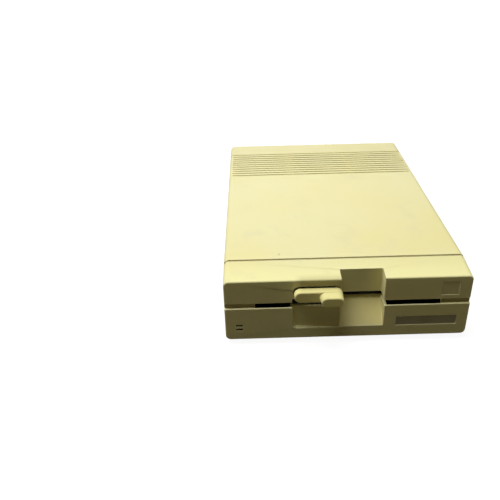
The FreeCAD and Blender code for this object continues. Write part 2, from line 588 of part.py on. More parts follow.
def make_top_cover():
    """Upper shell: a lid set a little behind the lower front, with a sloping front edge."""
    lid = Body("top_cover")
    lid.pad("YZ", ("0 - half", "half"),
            [("lid_front", "lip + seam"), ("case_depth", "lip + seam"), ("case_depth", "top"),
             ("front_groove_y", "top"), ("lid_front", "top - front_drop")])
    lid.soften("corner_radius", lambda x, y, z: near(abs(x), "half") and near(y, "case_depth"))
    lid.soften("edge_radius", lambda x, y, z: z > number("top - front_drop") - 0.1
               and (near(abs(x), "half") or y > number("case_depth - corner_radius") - 0.01))
    lid.soften("small_radius", lambda x, y, z: near(y, "lid_front") and near(z, "top - front_drop"))
    rear = "rear_inside + bay_deep"
    inside = "lid_front + wall"
    lid.pocket("YZ", ("wall - half", "half - wall"),
               [(inside, f"lip - {MARGIN}"), (rear, f"lip - {MARGIN}"), (rear, "ceiling"),
                ("front_groove_y", "ceiling"), (inside, "ceiling - front_drop")])
    # housing of the finger notch, and bosses for the case screws
    lid.pad("XY", ("slot_top + notch_lip", "ceiling - front_drop / 2"),
            rectangle(("notch_left - wall", "notch_right + wall"),
                      ("lid_front + wall / 2", "notch_deep + wall")))
    lid.pad("XY", ("lip + seam", "ceiling + bite"), circles=[(x, y, "lid_boss_radius") for x, y in BOSSES])
    lid.pocket("XY", ("lip", "case_screw_seat + case_screw_long + screw_end"),
               circles=[(x, y, "screw_bore") for x, y in BOSSES])
    # groove above the lower shell, the disk slot, the lever cut-out and the finger notch
    lid.pocket("XZ", (f"0 - {MARGIN}", "lid_front + reveal"),
               rectangle((f"0 - half - {MARGIN}", f"half + {MARGIN}"), ("lip", "slot_top")))
    lid.pocket("XZ", (f"0 - {MARGIN}", f"{inside} + slot_reach"),
               rectangle(("slot_left", "slot_right"), ("lip", "slot_top")))
    for shape in (rectangle(("recess_left", "lever_x"), ("lip", "base + cutout_step")),
                  rectangle(("lever_x", "cutout_end"), ("lip", "lever_z"))):
        lid.pocket("XZ", (f"0 - {MARGIN}", f"{inside} + bite"), shape)
    window = lid.sketch("XZ", f"0 - ({inside} + bite)")
    lid.stadium(window, "lever_x", "cutout_end", "lever_z", "cutout_radius")
    lid.extrude("Pocket", window, f"{inside} + bite + {MARGIN}")
    lid.pocket("XY", ("lip", f"top + {MARGIN}"),
               rectangle(("notch_left", "notch_right"), (f"0 - {MARGIN}", "notch_deep")))
    lid.soften("notch_corner", lambda x, y, z: near(y, "notch_deep") and z > number("slot_top")
               and (near(x, "notch_left") or near(x, "notch_right")))
    # badge recess, grooves and vents
    lid.pocket("XZ", (f"0 - {MARGIN}", "lid_front + plate_deep"),
               rectangle(("badge_left", "badge_right"), ("base + badge_low", "base + badge_high")))
    lid_groove(lid, "front_groove_y")
    lid_groove(lid, "(vent_start + vent_count * vent_pitch)")
    groove = lid.pocket("XY", ("top - vent_deep", f"top + {MARGIN}"),
                        rectangle(("vent_margin - half", "half - vent_margin"),
                                  about("vent_start", "vent_wide / 2")))
    third = "((case_width - 2 * vent_margin) / 3)"
    slits = [rectangle((f"vent_margin - half + {i} * {third} + vent_rib",
                        f"vent_margin - half + {i + 1} * {third} - vent_rib"),
                       about("vent_start", "vent_slit / 2")) for i in range(3)]
    slit = lid.pocket("XY", (f"ceiling - {MARGIN}", f"top + {MARGIN}"), *slits)
    lid.repeat([groove, slit], "(vent_count - 1) * vent_pitch", "vent_count")
    return lid.done()


def make_feet():
    """Round rubber feet with a bevelled edge."""
    for row, y in (("front", "foot_front_y"), ("rear", "foot_back_y")):
        for side, sign in (("left", -1), ("right", 1)):
            foot = Body(f"foot_{row}_{side}")
            foot.turned([("0", "0"), ("foot_radius - foot_bevel", "0"), ("foot_radius", "foot_bevel"),
                         ("foot_radius", "foot_height"), ("0", "foot_height")],
                        f"{sign} * foot_x", y)
            foot.done()


def screw(x, y, z, length):
    """A pan-head screw from below, whose head seats at z."""
    return join(rod("z", (x, y), (f"{z} - head_thick", z), "head_radius"),
                rod("z", (x, y), (f"{z} - bite", f"{z} + {length}"), "screw_radius"), name="screw")


def board_screw(x, y):
    """A small screw from above, into a standoff."""
    return join(rod("z", (x, y), upward("board_top", "board_head_thick"), "board_screw_head"),
                rod("z", (x, y), ("floor + gap", "board_top + bite"), "board_screw_radius"), name="screw")


def make_screws():
    keep(group(*[screw(x, y, "case_screw_seat", "case_screw_long") for x, y in BOSSES]), "case_screws")
    keep(group(*[screw(x, y, "mech_screw_seat", "mech_screw_long") for x, y in POSTS]),
         "mechanism_screws")
    keep(group(*[board_screw(x, y) for x, y in STANDOFFS]), "board_screws")


def make_lamps():
    """Two bar lamps in their windows, soldered to a small upright board."""
    for i, label in enumerate(("drive_led", "power_led")):
        middle = f"(base + lamp_low + {i} * lamp_pitch + lamp_tall / 2)"
        lens = box(about("lamp_x", "lamp_wide / 2 - lamp_side"), ("lamp_sink", "wall + bite"),
                   about(middle, "lamp_tall / 2 - lamp_lid"))
        collar = box(about("lamp_x", "lamp_wide / 2 + lamp_collar"), ("wall + play", "lamp_back"),
                     about(middle, "lamp_tall / 2 + lamp_collar"))
        legs = [rod("y", (f"lamp_x + {side} * leg_pitch / 2", middle), ("lamp_back - play", "lamp_board_y"),
                    "leg_radius") for side in SIDES]
        keep(join(lens, collar, *legs), label)
    keep(box(about("lamp_x", "lamp_board_half"), upward("lamp_board_y", "board_thick"),
             ("floor + fork_floor + gap / 2", "base + lamp_low + lamp_board_rise")), "lamp_board")


def set_in_plate(label, x, z, face="0"):
    """A thin plate in a shallow recess of the front, whose face is at y = face."""
    keep(box((f"{x[0]} + play", f"{x[1]} - play"), (f"{face} + plate_sink", f"{face} + plate_deep"),
             (f"base + {z[0]} + play", f"base + {z[1]} - play")), label)


def make_plates():
    set_in_plate("nameplate", ("plate_left", "plate_right"), ("plate_low", "plate_high"))
    set_in_plate("badge_plate", ("badge_left", "badge_right"), ("badge_low", "badge_high"), "lid_front")


# ---- lever -------------------------------------------------------------------------------

def make_lever():
    """Lever: a flat bar with a tapered finger block at its free end, and its shaft."""
    bar_front = "0 - lever_back - bar_thick"
    lever = Body("lever")
    bar = lever.sketch("XZ", "lever_back")
    lever.stadium(bar, "lever_x", "lever_end - lever_radius", "lever_z", "lever_radius")
    lever.extrude("Pad", bar, "bar_thick")
    lever.soften("lever_round", lambda x, y, z: near(y, bar_front))
    root = lever.sketch("XZ", "lever_back + grip_root")
    lever.stadium(root, "lever_end - grip_wide + lever_radius - grip_flare",
                  "lever_end - lever_radius - run_fit", "lever_z", "lever_radius - run_fit")
    face = lever.sketch("XZ", "lever_front")
    lever.stadium(face, "lever_end - grip_wide + grip_half", "lever_end - grip_half",
                  "lever_z - grip_drop", "grip_half")
    lever.loft(root, face)
    lever.soften("lever_round", lambda x, y, z: near(y, "0 - lever_front"))
    lever.pocket("XZ", ("0 - lever_back - shaft_sink - gap", f"{MARGIN} - lever_back"),
                 circles=[("lever_x", "lever_z", "shaft_radius + tight_fit")])
    lever.done()

    shaft = rod("y", ("lever_x", "lever_z"), ("0 - lever_back - shaft_sink", "shaft_end"), "shaft_radius")
    web = [rod("y", place, ("shaft_end - bite", "shaft_end + crank_web"), "crank_radius")
           for place in (("lever_x", "lever_z"), ("crank_x", "crank_z"))]
    crank = rod("y", ("crank_x", "crank_z"), ("shaft_end", "shaft_end + crank_web + crank_long"),
                "crank_radius")
    keep(join(shaft, *web, crank), "lever_shaft")


# ---- mechanism -----------------------------------------------------------------------------

def make_bezel():
    """Dust frame behind the case front, with the disk slot and the lever's bush."""
    frame = Body("slot_bezel")
    front = "mech_front - bezel_thick"
    low, high = "lip - bezel_clear", "slot_top + bezel_clear"
    frame.pad("XZ", (front, "mech_front"),
              rectangle(("mech_left - bezel_over", "mech_right + bezel_over"),
                        ("mech_floor + bezel_step", "mech_top + bezel_step")))
    frame.pocket("XZ", (f"{front} - {MARGIN}", f"mech_front + {MARGIN}"),
                 rectangle(("slot_left", "slot_right"), (low, high)),
                 circles=[("lever_x", "lever_z", "shaft_radius + run_fit")])
    frame.soften("bezel_thick / 2", lambda x, y, z: near(y, front) and (near(z, low) or near(z, high)),
                 kind="Chamfer")
    return frame.done()


def make_chassis():
    """Cast chassis: two side walls, the deck, rod holders, posts for the clamp arm's pin."""
    length = ("mech_front", "mech_back")
    height = ("mech_floor", "mech_top")
    across = ("mech_left + bite", "mech_right - bite")
    walls = [box(("mech_left", "mech_left + side_thick"), length, height),
             box(("mech_right - side_thick", "mech_right"), length, height),
             box(across, ("mech_back - side_thick", "mech_back"), ("mech_floor", "deck_top"))]
    deck = box(across, length, ("deck_low", "deck_top"))
    pads = [box(about(x, "pad_half"), about(y, "pad_long"), upward("mech_floor", "pad_high"))
            for x, y in POSTS]
    holder_rows = (("rod_front", "rod_front + holder_long"), ("rod_back - holder_long", "rod_back"))
    holders = [box(about(f"mech_x + {side} * rod_x", "holder_half"), y,
                   ("rod_z - holder_drop", "deck_low + bite")) for side in SIDES for y in holder_rows]
    posts = [box(about(f"mech_x + {side} * (clamp_leg_out + ear_post_off)", "ear_post_half"),
                 about("clamp_y", "ear_half"), ("deck_top - bite", "clamp_z + ear_half"))
             for side in SIDES]
    stage = [rod("z", (f"mech_x + {side} * stage_x", y), ("deck_low - stage_high", "deck_low + bite"),
                 "stage_radius") for side in SIDES for y in ("spindle_y - stage_front",
                                                             "spindle_y + stage_back")]
    body = join(*walls, deck, *pads, *holders, *posts, *stage)

    through = (f"deck_low - {MARGIN}", f"deck_top + {MARGIN}")
    holes = [rod("z", ("mech_x", "spindle_y"), through, "bearing_radius"),
             box(about("mech_x", "carriage_half + carriage_gap"),
                 ("rod_front + holder_long", "rod_back - holder_long"), through),
             rod("z", ("pulley_x", "band_y"), through, "stepper_hole"),
             rod("x", ("clamp_y", "clamp_z"), about("mech_x", f"clamp_leg_out + pin_reach + {MARGIN}"),
                 "pin_radius + tight_fit")]
    holes += [rod("y", (f"mech_x + {side} * rod_x", "rod_z"),
                  (f"rod_front - {MARGIN}", f"rod_back + {MARGIN}"), "rod_radius + tight_fit")
              for side in SIDES]
    holes += [rod("z", (x, y), (f"mech_floor - {MARGIN}", f"mech_floor + pad_high + {MARGIN}"),
                  "screw_bore") for x, y in POSTS]
    keep(carve(body, *holes), "chassis")

    shield = box(("mech_left + side_thick", "mech_right - side_thick"),
                 ("mech_front + shield_front", "mech_back - shield_back"),
                 ("mech_floor - shield_thick", "mech_floor"))
    keep(carve(shield, *[rod("z", (x, y), about("mech_floor", f"shield_thick + {MARGIN}"),
                             "screw_radius + gap") for x, y in POSTS]), "shield_plate")


def make_guides():
    """Plastic rails along both sides that carry the edges of the disk jacket."""
    for label, side in (("disk_guide_left", -1), ("disk_guide_right", 1)):
        outer, edge, ledge, lip = (f"mech_x + {side} * ({place})" for place in (
            "mech_width / 2 - side_thick", "jacket_wide / 2 + jacket_clear",
            "jacket_wide / 2 + jacket_clear - rail_ledge",
            "jacket_wide / 2 + jacket_clear - rail_lip"))
        carry, cover = "disk_low - rail_drop", "disk_high + jacket_clear"
        rail = Body(label)
        rail.pad("XZ", ("mech_front + rail_start", "spindle_y + jacket_wide / 2"),
                 [(outer, "deck_top"), (ledge, "deck_top"), (ledge, carry), (edge, carry),
                  (edge, cover), (lip, f"{cover} + rail_lip"), (lip, "disk_high + rail_high"),
                  (outer, "disk_high + rail_high")])
        rail.done()


def make_spindle():
    """Spindle with its cup, the bearing, the rotor and the fixed motor board with coils."""
    middle = ("mech_x", "spindle_y")
    bore, outside = "spindle_shaft + run_fit", "bearing_radius - bearing_step"
    foot = "rotor_top + bearing_lift"
    bearing = Body("spindle_bearing")
    bearing.turned([(bore, foot), (outside, foot), (outside, "deck_low - flange_drop"),
                    ("bearing_radius - tight_fit", "deck_low - flange_drop"),
                    ("bearing_radius - tight_fit", "deck_top"), (bore, "deck_top")], *middle)
    bearing.done()
    cup = Body("spindle")
    cup.turned([("0", "rotor_top - shaft_tail"), ("spindle_shaft", "rotor_top - shaft_tail"),
                ("spindle_shaft", "deck_top + gap"), ("seat_radius - cup_foot", "deck_top + gap"),
                ("seat_radius", "deck_top + cup_edge"), ("seat_radius", "disk_low - run_fit"),
                ("hub_hole", "disk_low - run_fit"), ("hub_hole - cup_taper", "disk_low - cup_deep"),
                ("0", "disk_low - cup_deep")], *middle)
    cup.done()
    rotor = Body("motor_rotor")
    inside, under = "spindle_shaft + tight_fit", "rotor_top - rotor_thick"
    rotor.turned([(inside, under), ("rotor_radius", under), ("rotor_radius", "rotor_top"),
                  ("rotor_radius - rotor_rim", "rotor_top"),
                  ("rotor_radius - rotor_rim", "rotor_top - rotor_well"),
                  ("rotor_hub", "rotor_top - rotor_well"), ("rotor_nose", "rotor_top - rotor_gap"),
                  (inside, "rotor_top - rotor_gap")], *middle)
    rotor.done()
    board_z = ("deck_low - stage_high - motor_board_thick", "deck_low - stage_high")
    board = box(about("mech_x", "motor_board_half"),
                ("spindle_y - motor_board_front", "spindle_y + motor_board_back"), board_z)
    hole = rod("z", middle, (f"{board_z[0]} - {MARGIN}", "deck_low"), f"bearing_radius - {MARGIN}")
    keep(carve(board, hole), "motor_board")
    coils = []
    coil_z = "rotor_top - rotor_well + coil_gap"
    for angle in range(0, 360, 60):
        place = (f"mech_x + coil_ring * cos({angle})", f"spindle_y + coil_ring * sin({angle})")
        coils.append(carve(rod("z", place, (coil_z, board_z[0]), "coil_radius"),
                           rod("z", place, (f"{coil_z} - {MARGIN}", board_z[1]), "coil_bore"), name="coil"))
    keep(group(*coils), "motor_coils")


def make_clamp():
    """Clamp arm on its cross pin, with a tab over the crank, and the turning clamp hub."""
    arm = Body("clamp_arm")
    left, right = about("mech_x", "clamp_leg_out")
    left_in, right_in = about("mech_x", "clamp_leg_in")
    tab_left, tab_right = about("crank_x", "tab_half")
    back = "clamp_y + clamp_tail"
    neck, tip = "clamp_front - tab_neck", "shaft_end + tab_gap"
    arm.pad("XY", ("clamp_low", "clamp_high"),
            [(left, back), (left, "clamp_front"), (tab_left, neck), (tab_left, tip), (tab_right, tip),
             (tab_right, neck), ("mech_x + clamp_nose", "clamp_front"),
             (right, "clamp_front + clamp_bevel"), (right, back), (right_in, back),
             (right_in, "clamp_back"), (left_in, "clamp_back"), (left_in, back)])
    ear_z = ("clamp_z - ear_half", "clamp_high")
    arm.pad("XZ", about("clamp_y", "clamp_tail"), rectangle((f"{right} - clamp_sheet", right), ear_z),
            rectangle((left, f"{left} + clamp_sheet"), ear_z))
    arm.pad("XZ", (f"{back} - clamp_sheet", back),
            rectangle((left, right), ("clamp_low - clamp_fold", "clamp_high")))
    arm.pocket("YZ", about("mech_x", f"clamp_leg_out + {MARGIN}"),
               circles=[("clamp_y", "clamp_z", "pin_radius + run_fit")])
    arm.pocket("XY", (f"clamp_low - {MARGIN}", f"clamp_high + {MARGIN}"),
               circles=[("mech_x", "spindle_y", "stud_radius + run_fit")])
    arm.done()

    keep(rod("x", ("clamp_y", "clamp_z"), about("mech_x", "clamp_leg_out + pin_reach"), "pin_radius"),
         "clamp_pin")

    hub = Body("clamp_hub")
    nose = "disk_high + hub_lift"
    rim, shoulder = f"{nose} + cone_high", f"{nose} + cone_high + hub_rim"
    under, over = "clamp_low - gap", "clamp_high + gap"
    hub.turned([("0", nose), ("hub_hole - cone_nose", nose), ("hub_hole - cone_fit", rim),
                ("seat_radius", rim), ("seat_radius", shoulder), ("hub_shoulder", shoulder),
                ("hub_neck", under), ("stud_radius", under), ("stud_radius", over),
                ("cap_radius", over), ("cap_radius", f"{over} + cap_thick"),
                ("0", f"{over} + cap_thick")], "mech_x", "spindle_y")
    hub.done()

    turns = []
    for i in range(6):
        turn = doc.addObject("Part::Torus", "turn")
        turn.Placement = FreeCAD.Placement(FreeCAD.Vector(), TURN["x"])
        turn.setExpression("Radius1", bind("pin_radius + spring_room + wire_radius"))
        turn.setExpression("Radius2", bind("wire_radius"))
        seat(turn, f"mech_x + spring_start + {i} * (2 * wire_radius + wire_gap)", "clamp_y", "clamp_z")
        turns.append(turn)
    keep(group(*turns), "clamp_spring")


def make_carriage():
    """Head carriage: a block on two rods, a bar that reaches the band, and cheeks for the arm."""
    block = box(about("mech_x", "carriage_half"), ("head_y - block_front", "head_y + block_back"),
                ("rod_z - carriage_drop", "deck_top"))
    bar_y = about("arm_y", "bar_half")
    bar_top = "tail_z + bar_high"
    tail = box(about("mech_x", "tail_half"), ("head_y + tail_start", bar_y[1]),
               ("tail_z - tail_deep", bar_top))
    step = box(about("mech_x", f"tail_half + {MARGIN}"), ("head_y + block_back", f"{bar_y[1]} + {MARGIN}"),
               (f"tail_z - tail_deep - {MARGIN}", "tail_z"))
    bar = box(("mech_x - bar_reach", "band_edge - band_thick"), bar_y, ("tail_z", bar_top))
    strut = box(("band_edge - band_thick - strut_wide", "band_edge - band_thick"),
                (bar_y[0], "band_y + band_reach"), upward("tail_z", "strut_high"))
    cheeks = []
    for side in SIDES:
        near_face, far_face = "arm_half + gap", "arm_half + gap + cheek_thick"
        span = (near_face, far_face) if side == 1 else (f"0 - ({far_face})", f"0 - ({near_face})")
        cheeks.append(box(tuple(f"mech_x + {x}" for x in span), about("arm_y", "ear_half"),
                          ("tail_z + tail_deep", "arm_z + cheek_top")))
    body = join(carve(join(block, tail), step), bar, strut, *cheeks)
    bores = [rod("y", (f"mech_x + {side} * rod_x", "rod_z"),
                 (f"head_y - block_front - {MARGIN}", f"head_y + block_back + {MARGIN}"),
                 "rod_radius + run_fit") for side in SIDES]
    bores.append(rod("x", ("arm_y", "arm_z"), about("mech_x", f"arm_pin_half + {MARGIN}"),
                     "arm_pin_radius + tight_fit"))
    keep(carve(body, *bores), "head_carriage")


def make_heads():
    """Guide rods, lower head, head arm on its pin, and upper head."""
    for label, side in (("guide_rod_left", -1), ("guide_rod_right", 1)):
        keep(rod("y", (f"mech_x + {side} * rod_x", "rod_z"), ("rod_front", "rod_back"), "rod_radius"), label)
    keep(rod("x", ("arm_y", "arm_z"), about("mech_x", "arm_pin_half"), "arm_pin_radius"), "head_arm_pin")
    keep(join(box(about("mech_x", "head_half"), ("head_y - head_front", "head_y + head_back"),
                  ("deck_top", "disk_low - head_step")),
              box(about("mech_x", "shoe_half"), about("head_y", "shoe_long"),
                  ("disk_low - shoe_high", "disk_low - shoe_rub"))), "lower_head")

    arm = Body("head_arm")
    root = f"arm_y - arm_root + {MARGIN}"
    arm.pad("XY", ("arm_z - arm_low", "arm_z + arm_high"),
            rectangle(about("mech_x", "arm_half"), ("arm_y - arm_root", "arm_y + ear_half")))
    arm.pad("XY", about("arm_z", "arm_thin"),
            [("mech_x - arm_nose", "head_y - head_front"), ("mech_x + arm_nose", "head_y - head_front"),
             ("mech_x + arm_half", root), ("mech_x - arm_half", root)])
    arm.pocket("YZ", about("mech_x", f"arm_half + {MARGIN}"),
               circles=[("arm_y", "arm_z", "arm_pin_radius + run_fit")])
    arm.done()
    face = "disk_high + head_lift"
    keep(join(box(about("mech_x", "pad_head_half"), about("head_y", "pad_head_long"),
                  (f"{face} + pad_head_low", "arm_z - arm_thin")),
              box(about("mech_x", "shoe_half"), about("head_y", "shoe_long"), upward(face, "shoe_high"))),
         "upper_head")


def make_stepper():
    """Steel band that draws the carriage, its pulley and the stepper motor under the deck."""
    low, high = "tail_z + band_low", "tail_z + band_low + band_high"
    keep(box(("band_edge - band_thick", "band_edge"), ("arm_y + band_start", "band_y + band_reach"),
             (low, high)), "band_strip")
    drum, drum_top = "band_radius - band_thick", "tail_z + pulley_high"
    tip = f"{drum_top} + pulley_tip"
    pulley = Body("stepper_pulley")
    pulley.turned([("0", "deck_low + bite"), ("pulley_shaft", "deck_low + bite"), ("pulley_shaft", "tail_z"),
                   (drum, "tail_z"), (drum, drum_top), ("pulley_shaft", drum_top),
                   ("pulley_shaft", tip), ("0", tip)], "pulley_x", "band_y")
    pulley.done()
    keep(carve(rod("z", ("pulley_x", "band_y"), (low, high), "band_radius"),
               rod("z", ("pulley_x", "band_y"), (f"{low} - {MARGIN}", f"{high} + {MARGIN}"),
                   f"{drum} + tight_fit")), "band_wrap")
    bottom, lid = "mech_floor + stepper_lift", "deck_low - tight_fit"
    collar_top = f"deck_low + {MARGIN}"
    motor = Body("stepper_motor")
    motor.turned([("0", bottom), ("stepper_radius - stepper_bevel", bottom),
                  ("stepper_radius", f"{bottom} + stepper_bevel"), ("stepper_radius", f"deck_low - {MARGIN}"),
                  ("stepper_radius - stepper_step", lid), ("stepper_collar", lid),
                  ("stepper_collar", collar_top), ("stepper_well", collar_top),
                  ("stepper_well", "deck_low"), ("0", "deck_low")], "pulley_x", "band_y")
    motor.done()


def make_sensors():
    """Forked track-zero sensor, and the blocks that watch the index hole and the jacket's notch."""
    flag = "arm_y - fork_behind"
    fork = box(("mech_x - fork_left", "mech_x - fork_right"),
               (f"{flag} - fork_behind", f"{flag} + fork_ahead"), ("deck_top", "tail_z + fork_top"))
    slot = box(("mech_x - fork_slot", f"mech_x - fork_right + {MARGIN}"),
               (f"{flag} - fork_behind - {MARGIN}", f"{flag} + fork_ahead + {MARGIN}"),
               ("tail_z - tight_fit", "tail_z + fork_gap"))
    keep(carve(fork, slot), "track_zero_sensor")
    keep(box(about("mech_x + index_x", "sensor_half"), about("spindle_y - index_y", "sensor_half"),
             ("deck_top", "lip - gap")), "index_sensor")
    keep(box(about("mech_x + protect_x", "protect_half"), about("mech_front + protect_y", "protect_long"),
             ("deck_top", "lip - gap")), "write_protect_sensor")


# ---- boards --------------------------------------------------------------------------------

CHIP_LONG = {"wide": ("50", "13.8"), "short": ("35", "13.8"), "slim": ("20", "6.4")}
LOGIC_CHIPS = [("wide", -22, 60), ("wide", -22, 90), ("wide", -22, 120), ("short", 32, 60),
               ("slim", 32, 90), ("slim", 32, 110), ("slim", 32, 130), ("slim", -8, 150),
               ("slim", 24, 150), ("slim", -8, 176), ("slim", 24, 176)]
MECH_CHIPS = [(-45, 20), (-45, 40), (32, 20), (32, 40), (-6, 42)]
CANS = [("serial_b_x - socket_side / 2 - can_radius", "board_back - 8", "can_radius", "12"),
        ("14", "board_back - 17", "can_radius", "16"),
        ("28", "board_back - 14", "small_can_radius", "10")]


def chip(kind, x, y, z, high="chip_high"):
    """A dual in-line package with its two rows of legs as solid fins."""
    long, wide = CHIP_LONG[kind]
    case = box(about(x, f"{long} / 2"), about(y, f"{wide} / 2"), (f"{z} + chip_lift", f"{z} + {high}"))
    rows = [box(about(x, f"{long} / 2 - leg_inset"), about(f"{y} + {side} * {wide} / 2", "leg_thick / 2"),
                upward(z, "leg_high")) for side in SIDES]
    return join(case, *rows, name="chip")


def make_boards():
    """Logic board under the mechanism and the mechanism's own board on top of it."""
    holes = [rod("z", (x, y), (f"board_z - {MARGIN}", f"board_top + {MARGIN}"), "board_bore")
             for x, y in STANDOFFS]
    keep(carve(box(about("0", "board_half"), ("board_front", "board_back"), ("board_z", "board_top")),
               *holes), "logic_board")
    keep(group(*[chip(kind, f"({x})", y, "board_top") for kind, x, y in LOGIC_CHIPS]), "board_chips")
    crystal = box(upward("standoff_side - board_half", "crystal_long"), upward("130", "crystal_wide"),
                  upward("board_top", "crystal_high"))
    keep(group(crystal, *[rod("z", (x, y), upward("board_top", tall), radius)
                          for x, y, radius, tall in CANS]), "board_parts")
    header_x = about("header_x", "header_half")
    header_y = ("board_back - header_back - header_wide", "board_back - header_back")
    keep(group(box(header_x, header_y, upward("board_top", "header_high")),
               box(header_x, (f"mech_back - {MARGIN} - header_wide", f"mech_back - {MARGIN}"),
                   upward("mech_board_top", "low_header_high"))), "cable_headers")
    keep(box(("mech_left + bezel_step", "mech_right - bezel_step"),
             ("mech_back - mech_board_long", "mech_back"), ("mech_top", "mech_board_top")),
         "mechanism_board")
    keep(group(*[chip("slim", f"({x})", f"mech_back - {y}", "mech_board_top", "low_chip_high")
                 for x, y in MECH_CHIPS]), "mechanism_chips")


def make_ribbon():
    """Flat cable from the logic board up and over to the mechanism board."""
    thick, bend, wide = (number(f) for f in ("ribbon_thick", "ribbon_bend", "ribbon_wide"))
    rise_y = number("board_back - header_back - header_wide / 2")
    end_y = number(f"mech_back - {MARGIN}")
    low_z = number("board_top + header_high")
    run_z = number("mech_board_top + ribbon_rise")
    centre = FreeCAD.Vector(0, rise_y - bend, run_z - bend)

    def face_line(offset):
        """Upright run, quarter turn and level run at one face of the cable."""
        radius = bend + offset
        corner = radius * 0.5 ** 0.5
        start = FreeCAD.Vector(0, rise_y + offset, centre.z)
        stop = FreeCAD.Vector(0, centre.y, run_z + offset)
        return [Part.LineSegment(FreeCAD.Vector(0, rise_y + offset, low_z), start),
                Part.Arc(start, centre + FreeCAD.Vector(0, corner, corner), stop),
                Part.LineSegment(stop, FreeCAD.Vector(0, end_y, run_z + offset))]

    outer, inner = face_line(thick / 2), face_line(-thick / 2)
    ends = [Part.LineSegment(inner[0].StartPoint, outer[0].StartPoint),
            Part.LineSegment(inner[2].EndPoint, outer[2].EndPoint)]
    edges = [line.toShape() for line in outer + inner + ends]
    section = Part.Face(Part.Wire(Part.__sortEdges__(edges)))
    cable = doc.addObject("Part::Feature", "ribbon_cable")
    cable.Shape = section.extrude(FreeCAD.Vector(wide, 0, 0))
    seat(cable, "header_x - ribbon_wide / 2", "0", "0")
    keep(cable, "ribbon_cable")


# ---- sockets and switches at the back --------------------------------------------------------

CONTACTS = {"serial_socket_a": range(0, 360, 60), "serial_socket_b": range(0, 360, 60),
            "power_inlet": range(45, 360, 90)}


def make_sockets():
    """Round sockets: a square shell with a round well, and an insert with contact holes."""
    inserts = []
    for label, x in SOCKETS:
        shell = box(about(x, "socket_side / 2"), ("face_y - socket_deep", "face_y"),
                    upward("board_top", "socket_side"))
        well = rod("y", (x, "socket_z"), ("face_y - socket_well", f"face_y + {MARGIN}"), "socket_bore")
        core = rod("y", (x, "socket_z"), ("face_y - socket_well", "face_y - core_sink"), "core_radius")
        holes = [rod("y", (f"{x} + contact_ring * cos({a})", f"socket_z + contact_ring * sin({a})"),
                     ("face_y - contact_deep", "face_y"), "contact_radius") for a in CONTACTS[label]]
        keep(carve(shell, well), label)
        inserts.append(carve(core, *holes, name="insert"))
    keep(group(*inserts), "socket_inserts")


def make_power_switch():
    """Housing with a frame that rests on the case, and the rocker in its well."""
    housing = join(box(about("switch_x", "switch_half"), ("rear_wall - switch_deep", "rear_wall + bite"),
                       about("socket_z", "switch_tall")),
                   box(about("switch_x", "frame_half"), upward("rear_wall", "frame_thick"),
                       about("socket_z", "frame_tall")))
    well = box(about("switch_x", "well_half"),
               ("rear_wall - well_deep", f"rear_wall + frame_thick + {MARGIN}"),
               about("socket_z", "well_tall"))
    bore = rod("x", ("rear_wall - rocker_axis", "socket_z"),
               about("switch_x", "rocker_pin_half + gap / 2"), "rocker_pin + run_fit")
    keep(carve(housing, well, bore), "power_switch")

    rocker = Body("power_rocker")
    rocker.pad("YZ", about("0", "rocker_half"),
               [("rocker_face", "0 - rocker_end"), ("rocker_dip", "0"), ("rocker_face", "rocker_end"),
                ("0 - rocker_back", "rocker_side"), ("0 - rocker_foot", "0"),
                ("0 - rocker_back", "0 - rocker_side")])
    rocker.soften("rocker_round", lambda x, y, z: y > number("rocker_dip / 2")
                  and abs(z) > number("rocker_end / 2"))
    rocker.pad("YZ", about("0", "rocker_pin_half"), circles=[("0", "0", "rocker_pin")])
    seat(rocker.body, "switch_x", "rear_wall - rocker_axis", "socket_z")
    tilt = FreeCAD.Rotation(FreeCAD.Vector(1, 0, 0), -number("rocker_tilt"))
    rocker.body.Placement = FreeCAD.Placement(rocker.body.Placement.Base, tilt)
    rocker.done()


def make_selector():
    """Two-way selector: a block with two upright tracks and a slider in each."""
    block = box(about("selector_x", "selector_half"), ("face_y - selector_deep", "face_y"),
                upward("board_top", "selector_high"))
    tracks = [box(about(f"selector_x + {side} * track_off", "track_half"),
                  ("face_y - track_deep", f"face_y + {MARGIN}"),
                  ("board_top + track_low", "board_top + track_high")) for side in SIDES]
    keep(carve(block, *tracks), "selector_switch")
    for i, side in enumerate(SIDES, 1):
        keep(box(about(f"selector_x + {side} * track_off", "slider_half"),
                 ("face_y - track_deep + slider_gap", "face_y + slider_out"),
                 upward("board_top + track_low + gap", "slider_tall")), f"selector_slider_{i}")


# ---- build, check and write --------------------------------------------------------------------

for make in (make_bottom_shell, make_top_cover, make_feet, make_screws, make_lamps, make_plates,
             make_lever, make_bezel, make_chassis, make_guides, make_spindle, make_clamp,
             make_carriage, make_heads, make_stepper, make_sensors, make_boards, make_ribbon,
             make_sockets, make_power_switch, make_selector):
    make()
doc.recompute()

for thing in doc.Objects:
    if any(state in ("Invalid", "Error") for state in thing.State):
        raise RuntimeError(f"{thing.Label} did not build")
for label, piece in pieces.items():
    if piece.Shape.isNull() or not piece.Shape.isValid():
        raise RuntimeError(f"{label} has no valid shape")

os.makedirs("parts", exist_ok=True)
for label, piece in pieces.items():
    piece.Shape.exportStep(f"parts/{label}.step")
print(len(pieces), "pieces written")
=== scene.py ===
# %% [markdown]
# # An external floppy disk drive, one piece at a time
#
# The drive is already built as a set of machine parts: shells, lever, feet, boards, motors.
# This lesson gives those parts their looks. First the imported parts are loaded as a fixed
# frame. Nothing in the frame is moved, so every new piece takes its place from it.

import math

import bmesh
import bpy
from mathutils import Matrix, Vector


